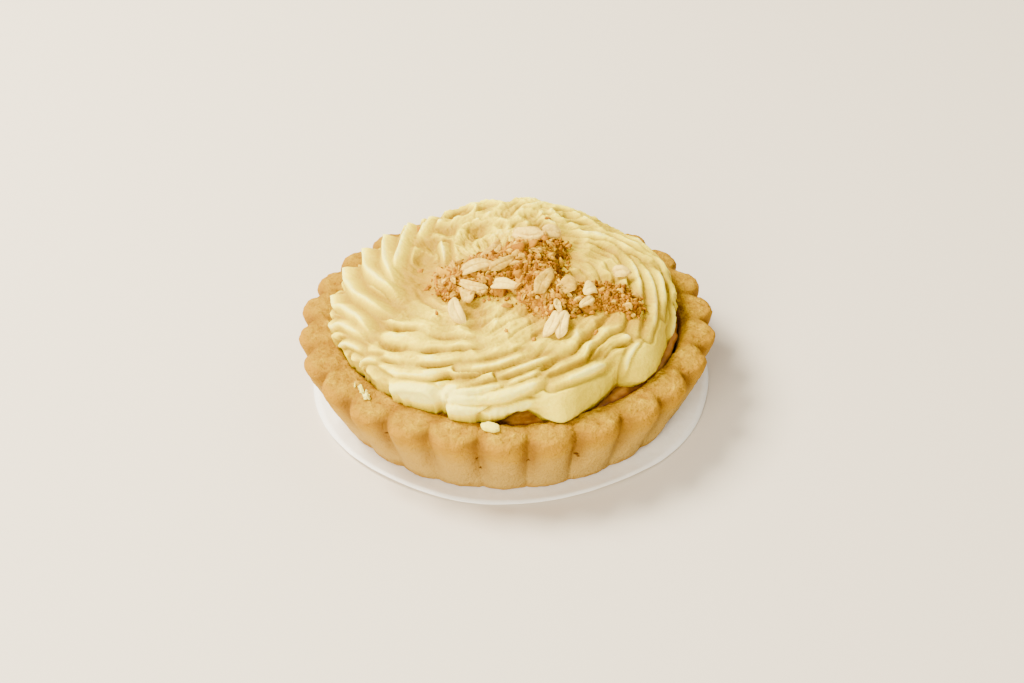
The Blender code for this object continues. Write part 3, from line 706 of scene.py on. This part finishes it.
def inward_drop(degrees):
    """How far a ridge has run inward at this angle."""
    known = INWARD_RATES + [(360, INWARD_RATES[0][1])]
    table = np.arange(0, 361)
    rates = np.interp(table, *zip(*known))
    total = so_far((rates[1:] + rates[:-1]) / 2)
    return np.interp(degrees, table, total / total[-1] * RIDGE_ARMS * RIDGE_PITCH)


def piped_ridges(grid):
    """The ridges by rule: their relief, their numbers, whole in each valley, and how torn they are."""
    phase = (grid.run + inward_drop(grid.degrees)) / RIDGE_PITCH
    for centre, width, fewer in PITCH_ZONES:
        phase = phase + fewer * (grid.edge_run - grid.run) / MM * bump(grid.degrees, centre, width)
    wander = rough(grid.plain, 0.012 - 0.004 * grid.fluffy[..., None], 51, 2)
    torn = noise(grid.plain, 0.0030, 53) + 0.6 * noise(grid.plain, 0.0014, 54)
    phase = phase + (0.42 + 0.5 * grid.fluffy) * wander + 0.15 * noise(grid.plain, 0.0055, 55)
    phase = phase + 0.12 * grid.frothy * torn
    share = phase % 1.0
    rising = np.minimum(share / RIDGE_CREST_SHARE, (1 - share) / (1 - RIDGE_CREST_SHARE))
    crest = 1 - (1 - rising) ** (1.6 + 0.9 * (1 - grid.left))
    swing = (1 + 1.2 * noise(grid.plain, 0.0065, 61)).clip(0.15, 2) * (1 - 0.55 * grid.fluffy)
    fade = 0.32 * smooth(grid.radius, 0.006, 0.016) + 0.68 * smooth(grid.radius, 0.024, 0.033)
    relief = RIDGE_DEPTH * swing * fade * (1 - grid.skirt) * (crest - RIDGE_LEVEL)
    return relief, phase, torn


def ridge_streaks(degrees, phase):
    """Noise drawn out along the ridges; the turn's end blends into its start."""
    blend = smooth(degrees, 335, 360)
    total = 0
    for turned, number, share in ((degrees, phase, 1 - blend), (degrees - 360, phase - RIDGE_ARMS, blend)):
        along = turned * 0.55 * MM / STREAK_LENGTH
        flat = np.stack(np.broadcast_arrays(number / STREAK_WIDTH, along, 0.0), -1)
        total = total + rough(flat, 1.0, 71, 2) * share
    return total


def fine_relief(grid, phase, rule):
    """Strands and streaks along the ridges, froth, and billows where no bold ridge rules."""
    strands = 1 - np.abs(2 * ((3.2 * phase + 0.5 * noise(grid.plain, 0.004, 57)) % 1.0) - 1)
    streaks = ridge_streaks(grid.degrees, phase)
    lines = (0.00014 * (strands - 0.5) * (1 - rule) + 0.00013 * streaks) * (1 - 0.6 * grid.skirt)
    flecks = 1 - 2.2 * np.abs(rough(grid.plain, 0.0017, 91, 2))
    froth = grid.frothy * (1 - 0.4 * grid.fluffy) * 0.00028 * flecks
    billows = 0.6 - 1.9 * np.abs(noise(grid.plain, 0.0078, 201))
    billows = billows - 0.6 * np.abs(noise(grid.plain, 0.0036, 203))
    even = (0.0004 + 0.0004 * smooth(grid.radius, 0.034, 0.026)) * (1 - grid.fluffy) * (1 - grid.skirt)
    return lines + froth + (1 - rule) * (grid.fluffy * 0.0015 + even) * billows


def edge_reach(grid):
    """How far the edge lies past the plain dome's, by row and step, and its line higher up."""
    angles, radii = np.array(EDGE_LINE, float).T
    edges = [np.interp(grid.degrees + turn, angles, radii, period=360) for turn in range(-7, 8)]
    even = smooth(grid.degrees, *EDGE_SMOOTHED)
    upper = np.mean(edges, axis=0) * even + np.mean(edges[5:10], axis=0) * (1 - even)
    low_down = smooth(grid.run, grid.edge_run - 0.0045, grid.edge_run)
    reach = upper * (1 - low_down) + np.mean(edges[6:9], axis=0) * low_down
    fray = 0.32 * rough(grid.plain, 0.0016, 97, 3) * low_down * (1 - 0.6 * grid.skirt)
    return (reach + fray) * MM - CREAM_EDGE_RADIUS, upper[0] * MM - CREAM_EDGE_RADIUS


def bold_ridges(places, dome_place, ragged):
    """The bold ridges over places on the dome: height, how far they rule (0 to 1), sink and crest, the last
    of which places their painted highlight.

    The function dome_place gives the height of a ridge's line on the dome, and the edges of a ridge
    wander by ragged, in millimetres. Ridges at the front and the right are rounder.
    """
    height, crest, rule, sinks = np.zeros((4, *places.shape[:-1]))
    weights = np.full(height.shape, 1e-6)
    round_share = np.maximum(smooth(-places[..., 1], 0.022, 0.030), smooth(places[..., 0], 0.020, 0.028))
    for half_width, top, points in BOLD_RIDGES:
        line = curve_through(points, BOLD_POINTS) * MM
        away = places[..., None, :] - np.column_stack([line, dome_place(*line.T)])
        distance = np.sqrt((away ** 2).sum(-1))
        nearest = distance.argmin(-1)
        distance = distance.min(-1) / MM + ragged
        offset = np.take_along_axis(away[..., :2], nearest[..., None, None], axis=-2)[..., 0, :]
        along = np.gradient(line, axis=0)[nearest]
        lengths = np.linalg.norm(along, axis=-1) * np.linalg.norm(offset, axis=-1) + 1e-9
        side = (along[..., 1] * offset[..., 0] - along[..., 0] * offset[..., 1]) / lengths
        reach = half_width * (0.97 - 0.34 * side)
        share = np.clip(1 - distance / reach, 0, 1)
        gone = nearest / (BOLD_POINTS - 1)
        taper = 1 - smooth(gone, 0.6, 1.0)
        taper = taper * (1 - 0.5 * round_share * (1 - smooth(gone, 0.0, 0.25)))
        peaked = share * (0.65 + 0.35 * share)
        rounded = 0.75 * share * share * (3 - 2 * share) + 0.25 * np.sqrt(1 - (1 - share) ** 2)
        height = np.maximum(height, top * taper * (peaked * (1 - round_share) + rounded * round_share))
        crest = np.maximum(crest, taper * share)
        own_rule = smooth(1.35 - distance / reach, 0, 0.5) * (1 - smooth(gone, 0.75, 1.0))
        rule = np.maximum(rule, own_rule)
        sinks += own_rule * top * 0.45
        weights += own_rule
    return height * MM, rule, sinks / weights * MM, crest


def hollow_depth(places):
    """How deep the hollow beside the heap is at these places."""
    half_width, depth, points = HOLLOW
    line = curve_through(points, HOLLOW_POINTS) * MM
    away = np.hypot(places[..., :1] - line[:, 0], places[..., 1:2] - line[:, 1]).min(-1)
    return depth * MM * (1 - smooth(away, 0, 2 * half_width * MM))


def with_foot(grid, radius, height):
    """Radius and height with the foot's rows added, lifted clear of what the cream lies on."""
    free = FREE_EDGE_INSET * bump(grid.degrees, *FREE_EDGE)
    edge = radius[-1:]
    for foot_radius, foot_height in CREAM_FOOT:
        inset = (CREAM_EDGE_RADIUS - foot_radius) * (1 - 0.75 * grid.flap)
        inset = inset * (1 - grid.seated) + SEATED_INSET * grid.seated + free
        radius = np.vstack([radius, edge - inset])
        height = np.vstack([height, np.full(edge.shape, foot_height)])
    support = np.interp(radius, *zip(*SUPPORT))
    return radius, np.maximum(height, support + 0.0001)


def cream_tones(grid, relief, rule, bold_crest):
    """What the colour goes by: 0 in a valley to 1 on a crest, painting the valleys with shade and the crests
    with highlights, and how much darker orange it turns beside the heap.
    """
    # Painted shade and highlight: low tones give the valleys a deeper yellow, high tones give the crests
    # near white.
    tone = (0.45 + relief / TONE_DEPTH) * (1 - rule) + (0.06 + 1.10 * bold_crest ** 1.2) * rule
    lit_lobes = bump(grid.degrees, *LIT_LOBE_ZONE)
    lit_lobes = lit_lobes * smooth(grid.run, grid.edge_run - 0.0075, grid.edge_run - 0.0035)
    # Painted light: each lit lobe at the front edge is made much paler, and the smooth flap somewhat paler.
    tone = np.clip(tone + 0.80 * lit_lobes + 0.25 * grid.skirt, 0, 1)
    beside = np.min([np.hypot(grid.plain[..., 0] - x, grid.plain[..., 1] - y) - radius
                     for x, y, radius, _ in MOUNDS], axis=0)
    patches = np.clip(0.75 + 0.9 * rough(grid.plain, 0.006, 221, 3), 0, 1)
    # Darker orange beside the heap, in patches.
    stain = (1 - smooth(beside, 0.0, 0.009)) * patches
    foot = np.zeros((len(CREAM_FOOT), CREAM_STEPS))
    return np.vstack([tone, foot + CREAM_FOOT_TONE]), np.vstack([stain, foot])


def make_cream():
    """The piped cream: a dome pushed out along its normals by ridges, streaks and torn bits."""
    grid = CreamGrid()
    relief, phase, torn = piped_ridges(grid)
    reach, edge_line = edge_reach(grid)
    side = np.interp(grid.radius, EDGE_BLEND_RADII, [0, 1])
    spread = around(grid.radius + reach * side, grid.degrees, grid.height)

    def dome_place(x, y):
        """Height of the dome, stretched out to its edge line."""
        own = np.hypot(x, y)
        turned = np.degrees(np.arctan2(y, x)) % 360
        stretch = np.interp(turned, grid.degrees[0], edge_line) * np.interp(own, EDGE_BLEND_RADII, [0, 1])
        return dome_height(np.minimum(own - stretch, 0.9985 * CREAM_EDGE_RADIUS))

    ragged = 0.25 * torn * (0.4 + 0.6 * grid.frothy)
    bold, rule, sink, bold_crest = bold_ridges(spread, dome_place, ragged)
    relief = relief * (1 - rule) + (bold - sink) * rule - hollow_depth(spread) * (1 - rule)
    relief = (relief + fine_relief(grid, phase, rule)) * smooth(grid.radius, 0.000, 0.006)
    covered = smooth(mound_height(grid.plain[..., 0], grid.plain[..., 1]), 0, 0.0012)
    relief = relief * (1 - covered) - 0.0008 * covered

    hump = BACK_HUMP_HEIGHT * bump(grid.degrees, *BACK_HUMP)
    hump = hump * np.interp(grid.radius, BACK_HUMP_RADII, [0, 1])
    drop = grid.flap * smooth(grid.run, FLAP_BEND_RUN, grid.edge_run)
    drop = drop * (CREAM_WIDEST_HEIGHT - RIM_HEIGHT - FLAP_LIFT)
    radius, height = with_foot(grid, grid.radius + relief * grid.normal_r + reach * side,
                               grid.height + relief * grid.normal_z + hump - drop)
    crest, stain = cream_tones(grid, relief, rule, bold_crest)
    ends = (BASE_Z + dome_height(0.0), BASE_Z + FILLING_TOP + 0.0002)
    obj = ring_surface("piped_cream", around(radius, grid.degrees, height + BASE_Z), ends,
                       from_top=True, crest=crest, stain=stain)
    place(obj, cream_finish(), "cream", "cream")
    return obj


def cream_finish():
    """Pale yellow cream that lets light in and has a soft sheen, painted a deeper yellow in the valleys as
    shade and near white on the crests as highlight.
    """
    look = Finish("cream_finish", Roughness=0.5, Specular_IOR_Level=0.06, Subsurface_Weight=0.45,
                  Subsurface_Radius=(1.0, 0.8, 0.3), Subsurface_Scale=0.0014)
    broad = look.grain(0.009, 2.0)
    fine = look.grain(0.0007, 4.0, 0.6)
    tone = look.total((look.value("crest"), 1.0), (look.centred(broad), 0.35), (look.centred(fine), 0.25))
    # Painted shade and highlight: the ramp runs from the valleys' deeper yellow to the crests' near white.
    colour = look.ramp(tone, [(0.02, (0.34, 0.196, 0.0)), (0.20, (0.42, 0.268, 0.0)),
                              (0.46, (0.56, 0.398, 0.0)), (0.70, (0.75, 0.562, 0.0)),
                              (0.88, (0.99, 0.775, 0.02)), (1.0, (1.0, 0.85, 0.16))])
    # Darker orange beside the heap.
    colour = look.blend(look.product(look.value("stain"), 0.9), colour, (0.42, 0.225, 0.0))
    look.set("Base Color", colour)
    look.bumps((look.grain(0.0018, 3.0), 0.0004, 0.5), (fine, 0.0003, 0.6))
    return look.material


def mound_height(x, y):
    """Height of the heap's core above the cream's plain dome."""
    best = np.full(np.broadcast(x, y).shape, -MOUND_SINK)
    for mound_x, mound_y, radius, height in MOUNDS:
        away = np.hypot(x - mound_x, y - mound_y) / radius
        cap = (height + MOUND_SINK) * np.sqrt(np.clip(1 - away * away, 0, 1)) - MOUND_SINK
        best = np.maximum(best, cap)
    return best


def corners(grid):
    """The four corners of each cell of a grid."""
    return np.stack([grid[:-1, :-1], grid[1:, :-1], grid[1:, 1:], grid[:-1, 1:]], -1)


def make_heap_core():
    """The heap's rough core, as a sheet that dips into the cream all round."""
    x, y = np.meshgrid(np.arange(*HEAP_X, HEAP_CELL), np.arange(*HEAP_Y, HEAP_CELL), indexing="ij")
    flat = np.stack([x, y, x * 0], -1)
    rise = mound_height(x + HEAP_WOBBLE * rough(flat, 0.004, 101, 2),
                        y + HEAP_WOBBLE * rough(flat, 0.004, 105, 2))
    crumbly = 1 - 2 * np.abs(rough(flat, 0.0026, 111, 3))
    dome = BASE_Z + dome_height(np.hypot(x, y))
    top = dome + rise * 0.86 + HEAP_ROUGHNESS * crumbly - 0.0003
    vertices = np.vstack([np.stack([x, y, z], -1).reshape(-1, 3) for z in (top, dome - HEAP_SINK)])

    kept = corners(rise > -MOUND_SINK + 0.001 * MM).all(-1)
    upper = corners(np.arange(x.size).reshape(x.shape))[kept]
    edges = np.concatenate([upper[:, [k, (k + 1) % 4]] for k in range(4)])
    key = np.sort(edges, 1) @ [x.size, 1]
    _, first, met = np.unique(key, return_index=True, return_counts=True)
    rim = edges[first[met == 1]]
    walls = np.column_stack([rim[:, 1], rim[:, 0], rim + x.size])
    faces = np.concatenate([upper, upper[:, ::-1] + x.size, walls])
    used, renumbered = np.unique(faces, return_inverse=True)
    obj = show("crumble_core", vertices[used], renumbered.reshape(faces.shape).tolist())
    carry(obj, "tint", np.clip(0.42 + 0.3 * crumbly.ravel(), 0, 1)[used % x.size])
    place(obj, crumble_finish(), "crumble", "crumble")
    return obj


def surface_of(*objects):
    """A function that gives the top of some objects over a place."""
    trees = []
    for obj in objects:
        vertices = [vertex.co for vertex in obj.data.vertices]
        trees.append(BVHTree.FromPolygons(vertices, [face.vertices for face in obj.data.polygons]))

    def top(x, y):
        """The highest hit of a ray from above."""
        hits = [tree.ray_cast(Vector((x, y, 0.2)), Vector((0, 0, -1)))[0] for tree in trees]
        return max(hit.z for hit in hits if hit)

    return top


def grain_shape(subdivisions):
    """Vertices and faces of a unit grain."""
    bm = bmesh.new()
    bmesh.ops.create_icosphere(bm, subdivisions=subdivisions, radius=1.0)
    vertices = np.array([vertex.co[:] for vertex in bm.verts])
    faces = np.array([[vertex.index for vertex in face.verts] for face in bm.faces])
    bm.free()
    return vertices, faces


def repeated(faces, count, size):
    """The faces of this many like shapes in one mesh, each with this many vertices."""
    return (faces + np.arange(count)[:, None, None] * size).reshape(-1, faces.shape[1]).tolist()


def make_grains(name, centres, sizes, tints, subdivisions, draw):
    """Many lumpy, ragged grains as one mesh."""
    count = len(centres)
    vertices, faces = grain_shape(subdivisions)
    lumps = 1 + 0.30 * draw.normal(size=(count, len(vertices), 1)).clip(-1.7, 1.7)
    stretch = draw.lognormal(0.0, 0.45, (count, 1, 3)).clip(0.35, 2.2)
    shaped = vertices[None] * lumps * stretch * sizes[:, None, None]
    turns = np.array([Quaternion(q).normalized().to_matrix() for q in draw.normal(size=(count, 4))])
    placed = shaped @ turns.transpose(0, 2, 1) + centres[:, None]
    obj = show(name, placed.reshape(-1, 3), repeated(faces, count, len(vertices)))
    carry(obj, "tint", np.repeat(tints, len(vertices)))
    return obj


def scattered(draw, count, top, spread, outlying):
    """Places on the heap: most on its mounds, and a share of outlying ones round it."""
    places = []
    areas = np.array([radius ** 2 for _, _, radius, _ in MOUNDS])
    while len(places) < count:
        mound_x, mound_y, radius, _ = MOUNDS[draw.choice(len(MOUNDS), p=areas / areas.sum())]
        far = 1.0 + (spread if draw.random() < outlying else 0.0)
        away = radius * far * math.sqrt(draw.random())
        turn = draw.uniform(0, math.tau)
        x = mound_x + away * math.cos(turn)
        y = mound_y + away * math.sin(turn)
        places.append((x, y, top(x, y)))
    return np.array(places)


def clear_of_flakes(centres, share):
    """Which grains to keep so that the flakes lie in sight: those off their middles."""
    kept = np.ones(len(centres), bool)
    for x, y, heading, _, _, length, width, _, _ in FLAKES:
        turn = math.radians(heading)
        dx = centres[:, 0] / MM - x
        dy = centres[:, 1] / MM - y
        along = (dx * math.cos(turn) + dy * math.sin(turn)) / (length / 2)
        across = (dy * math.cos(turn) - dx * math.sin(turn)) / (width / 2)
        kept &= along ** 2 + across ** 2 > share
    return kept


def draw_crumbs(draw, top, kind):
    """Centres, radii and tints of one kind of crumb on the heap."""
    count = kind["count"]
    centres = scattered(draw, count, top, kind["spread"], kind["outlying"])
    tail = smooth(centres[:, 0], *TAIL_X)
    sizes = draw.lognormal(math.log(kind["radius"]), kind["variety"], count).clip(*kind["radii"])
    sizes = sizes * (1 - kind["tail_loss"] * tail)
    rises = draw.uniform(*kind["rises"], count)
    centres[:, 2] += sizes * rises
    patches = kind["patchiness"] * noise(centres, 0.0035, 211)
    # Painted light and shade: crumbs that stand higher are lighter, those lower down darker.
    patches = patches + kind["painted_light_by_height"] * (rises - np.mean(kind["rises"]))
    tints = np.clip(draw.beta(*kind["shades"], count) + patches - 0.06 * tail, 0, 1)
    return centres, sizes, tints


def make_crumbs(top):
    """The crumble's grains, coarse and fine, and the crumbs that lie apart."""
    draw = np.random.default_rng(7)
    centres, sizes, tints = draw_crumbs(draw, top, COARSE_CRUMBS)
    kept = clear_of_flakes(centres, 1.15)
    strays = np.array(STRAY_CRUMBS) * [MM, MM, MM, 1]
    apart = [(x, y, top(x, y) + size * 0.4) for x, y, size, _ in strays]
    grains = make_grains("crumble_grains", np.vstack([centres[kept], apart]),
                         np.append(sizes[kept], strays[:, 2]), np.append(tints[kept], strays[:, 3]), 2, draw)
    place(grains, crumble_finish(), "crumble", "crumble")

    centres, sizes, tints = draw_crumbs(draw, top, FINE_CRUMBS)
    kept = clear_of_flakes(centres, 0.95) | (draw.random(len(centres)) < 0.05)
    dust = make_grains("crumble_dust", centres[kept], sizes[kept], tints[kept], 1, draw)
    place(dust, crumble_finish(), "crumble", "crumble")


def crumble_finish():
    """Toasted crumb in many tints, from dark orange to pale tan."""
    if "crumble_finish" in bpy.data.materials:
        return bpy.data.materials["crumble_finish"]
    look = Finish("crumble_finish", Roughness=0.8, Specular_IOR_Level=0.06)
    fine = look.grain(0.0006, 4.0, 0.65)
    colour = look.ramp(look.total((look.value("tint"), 1.0), (look.centred(fine), 0.6)),
                       [(0.05, (0.20, 0.065, 0.0)), (0.30, (0.30, 0.113, 0.0)),
                        (0.60, (0.41, 0.172, 0.0)), (0.95, (0.60, 0.310, 0.0))])
    look.set("Base Color", colour)
    look.bumps((fine, 0.0003, 0.8))
    return look.material


def flake_shape(length, width, draw):
    """Vertices of an oat flake, a cupped oval with a crease along it, and each vertex's tint."""
    turn = np.arange(FLAKE_STEPS) * math.tau / FLAKE_STEPS
    outline = 1 + 0.06 * np.sin(3 * turn + draw.uniform(0, 6)) + 0.04 * np.sin(5 * turn + draw.uniform(0, 6))
    fold = draw.uniform(0.2, 1.0)
    outline = outline - 0.10 * np.exp(-((turn - math.pi) / 0.22) ** 2)
    share = (np.arange(FLAKE_RINGS) + 1)[:, None] / FLAKE_RINGS
    x = share * np.cos(turn) * outline * length / 2
    y = share * np.sin(turn) * outline * width / 2
    across = y / (width / 2)
    crease = -FLAKE_CREASE * fold * np.exp(-(across / 0.10) ** 2) * (1 - share ** 4)
    cup = 0.00022 * across ** 2 - 0.0004 * draw.uniform(0.2, 1.4) * (x / (length / 2)) ** 2
    thick = FLAKE_THICKNESS * np.sqrt(np.clip(1 - share ** 3, 0, 1)) + FLAKE_EDGE
    bend = 0.12 * width * np.sin(x / length * 4 + draw.uniform(0, 6))
    wrinkle = 0.00011 * np.sin(x / 0.0009 + 3 * across + draw.uniform(0, 6))
    upper = np.stack([x, y + bend, cup + crease + thick + wrinkle], -1)
    lower = np.stack([x, y + bend, cup - thick], -1)
    vertices = np.vstack([upper.reshape(-1, 3), lower[::-1].reshape(-1, 3),
                          [0, bend.mean(), thick[0, 0] - FLAKE_CREASE * fold],
                          [0, bend.mean(), -thick[0, 0]]])
    tint = 0.8 * fold * np.exp(-(across / 0.09) ** 2) * (1 - share ** 4) + 0.7 * share ** 5
    return vertices, np.concatenate([tint.ravel(), 0 * tint.ravel(), [1, 0]])


def make_flakes(top):
    """Oat flakes on the heap and beside it, and fragments of flakes among the crumbs."""
    draw = np.random.default_rng(23)
    flakes = list(FLAKES)
    for x, y, _ in scattered(draw, FRAGMENTS, top, 0.10, 0.2) / MM:
        length = draw.uniform(*FRAGMENT_LENGTHS)
        flakes.append((x, y, draw.uniform(0, 360), draw.normal(0, 22), draw.normal(0, 26), length,
                       length * draw.uniform(0.32, 0.65), 0.6 + draw.uniform(-0.2, 0.5),
                       draw.uniform(0.0, 0.45)))
    placed = []
    tints = []
    for x, y, heading, tilt, roll, length, width, rise, _ in flakes:
        vertices, tint = flake_shape(length * MM, width * MM, draw)
        turn = Euler((math.radians(roll), math.radians(-tilt), math.radians(heading)), "XYZ")
        spot = [x * MM, y * MM, top(x * MM, y * MM) + rise * MM]
        placed.append(vertices @ np.array(turn.to_matrix()).T + spot)
        tints.append(tint)
    each = len(tints[0])
    quads, fans = ring_faces(2 * FLAKE_RINGS, FLAKE_STEPS, from_top=True)
    faces = repeated(quads, len(flakes), each) + repeated(fans, len(flakes), each)
    obj = show("oat_flakes", np.vstack(placed), faces)
    carry(obj, "tint", np.concatenate(tints))
    carry(obj, "tone", np.repeat([flake[-1] for flake in flakes], each))
    place(obj, flake_finish(), "crumble", "crumble")


def flake_finish():
    """Pale oat flakes with a darker crease."""
    look = Finish("flake_finish", Roughness=0.65, Specular_IOR_Level=0.15)
    fibres = look.grain(0.0009, 4.0, 0.6)
    colour = look.ramp(look.total((look.value("tone"), 0.5), (fibres, 0.7)),
                       [(0.30, (0.38, 0.190, 0.0)), (0.52, (0.60, 0.350, 0.008)),
                        (0.80, (1.0, 0.715, 0.110))])
    colour = look.blend(look.product(look.value("tint"), 0.6), colour, (0.42, 0.20, 0.01))
    look.set("Base Color", colour)
    look.bumps((fibres, 0.0003, 0.6))
    return look.material


def place_cream(obj, *nodes):
    """Finish a small piece of cream."""
    carry(obj, "crest", BIT_TONE)
    carry(obj, "stain", 0.0)
    place(obj, bpy.data.materials["cream_finish"], "cream", *nodes)


def make_drop():
    """The drop of cream on the front rim."""
    vertices, faces = grain_shape(5)
    shaped = vertices * (1 + 0.14 * rough(vertices, 0.7, 131, 3))[:, None]
    shaped[:, 2] = np.maximum(shaped[:, 2], DROP_FLAT)
    turn = Matrix.Rotation(math.radians(DROP_HEADING), 3, "Z")
    placed = shaped * np.array(DROP_SIZE) / 2 @ np.array(turn).T
    low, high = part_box("cream_drop")
    placed[:, 2] += low.z - DROP_SINK - placed[:, 2].min()
    placed[:, :2] += [(low.x + high.x) / 2, (low.y + high.y) / 2]
    place_cream(show("cream_drop_piece", placed, faces.tolist()), "cream_drop")


def make_cream_bits(top):
    """Small bits of cream that fell on the rim."""
    draw = np.random.default_rng(31)
    angles, radii, sizes = np.array(CREAM_BITS).T
    centres = around(radii, angles, 0.0)
    centres[:, 2] = [top(x, y) + size * 0.5 for (x, y, _), size in zip(centres, sizes)]
    place_cream(make_grains("cream_bits", centres, sizes, 0 * sizes, 3, draw))


def make_paper():
    """The paper round: flat under the tart, wavy and thin at its edge."""
    outward = np.linspace(0.05, 1, PAPER_ROWS)
    radius = PAPER_RADIUS * np.concatenate([outward, outward[::-1]])[:, None]
    upper = np.repeat([1, 0], PAPER_ROWS)[:, None]
    degrees = full_circle(PAPER_STEPS)
    edge = np.clip((radius - PAPER_FLAT_RADIUS) / (PAPER_RADIUS - PAPER_FLAT_RADIUS), 0, 1)
    wave = 0.5 + 0.5 * np.sin(5 * np.radians(degrees) + 0.6)
    lift = PAPER_LIFTS[0] + (PAPER_LIFTS[1] - PAPER_LIFTS[0]) * wave
    crease = 0.00012 * rough(around(radius, degrees, 0.0), 0.006, 151, 2) * edge
    height = (lift + crease) * edge ** 2 + PAPER_THICKNESS * (1 - 0.6 * edge) * upper
    uneven = 0.0004 * noise(around(PAPER_RADIUS, degrees, 0.0), 0.02, 141)
    rings = around(radius + uneven * edge, degrees, height) + [*PAPER_CENTRE, 0]
    obj = ring_surface("paper_round", rings, (PAPER_THICKNESS, 0), from_top=True, centre=PAPER_CENTRE)
    place(obj, paper_finish(), "paper", "paper")


def paper_finish():
    """Off-white greaseproof paper with faint fibres."""
    look = Finish("paper_finish", Roughness=0.55)
    fibres = look.grain(0.0025, 4.0, 0.6)
    look.set("Base Color", look.ramp(fibres, [(0.3, (0.84, 0.79, 0.70)), (0.7, (0.90, 0.86, 0.79))]))
    look.bumps((look.grain(0.0012, 3.0), 0.0002, 0.4))
    return look.material


def make_camera():
    """The photograph's view of the tart."""
    tilt = Matrix.Rotation(math.radians(90 - CAMERA_DOWN), 4, "X")
    roll = Matrix.Rotation(math.radians(CAMERA_ROLL), 4, "Z")
    back = Matrix.Translation((0, 0, CAMERA_DISTANCE))
    camera = bpy.data.objects.new("camera", bpy.data.cameras.new("camera"))
    camera.data.lens = CAMERA_LENS
    camera.data.clip_start = CAMERA_NEAR
    camera.matrix_world = Matrix.Translation(CAMERA_AIM) @ tilt @ roll @ back
    bpy.context.scene.collection.objects.link(camera)
    bpy.context.scene.camera = camera


def make_lamp(name, spot, width, watts, colour):
    """A square lamp turned to the tart."""
    lamp = bpy.data.lights.new(name, "AREA")
    lamp.shape = "SQUARE"
    lamp.size = width
    lamp.energy = watts
    lamp.color = colour
    obj = bpy.data.objects.new(name, lamp)
    obj.location = spot
    obj.rotation_euler = (-Vector(spot)).to_track_quat("-Z", "Y").to_euler()
    bpy.context.scene.collection.objects.link(obj)


def make_studio():
    """A plain pale floor and soft light, most of it from the left."""
    square = np.array([(-1, -1, 0), (1, -1, 0), (1, 1, 0), (-1, 1, 0)])
    floor = show("floor", square * FLOOR_REACH, [(0, 1, 2, 3)])
    floor.data.materials.append(Finish("floor_finish", Roughness=0.7, Base_Color=FLOOR_COLOUR).material)
    floor.location.z = -FLOOR_GAP
    for lamp in LAMPS:
        make_lamp(*lamp)
    world = bpy.data.worlds.new("studio")
    world.use_nodes = True
    sky = world.node_tree.nodes["Background"]
    sky.inputs["Color"].default_value = (*SKY_COLOUR, 1)
    sky.inputs["Strength"].default_value = SKY_STRENGTH
    bpy.context.scene.world = world


make_camera()
make_studio()
crust_piece = make_crust()
make_filling()
cream_piece = make_cream()
heap_top = surface_of(cream_piece, make_heap_core())
make_crumbs(heap_top)
make_flakes(heap_top)
make_drop()
make_cream_bits(surface_of(crust_piece))
make_paper()
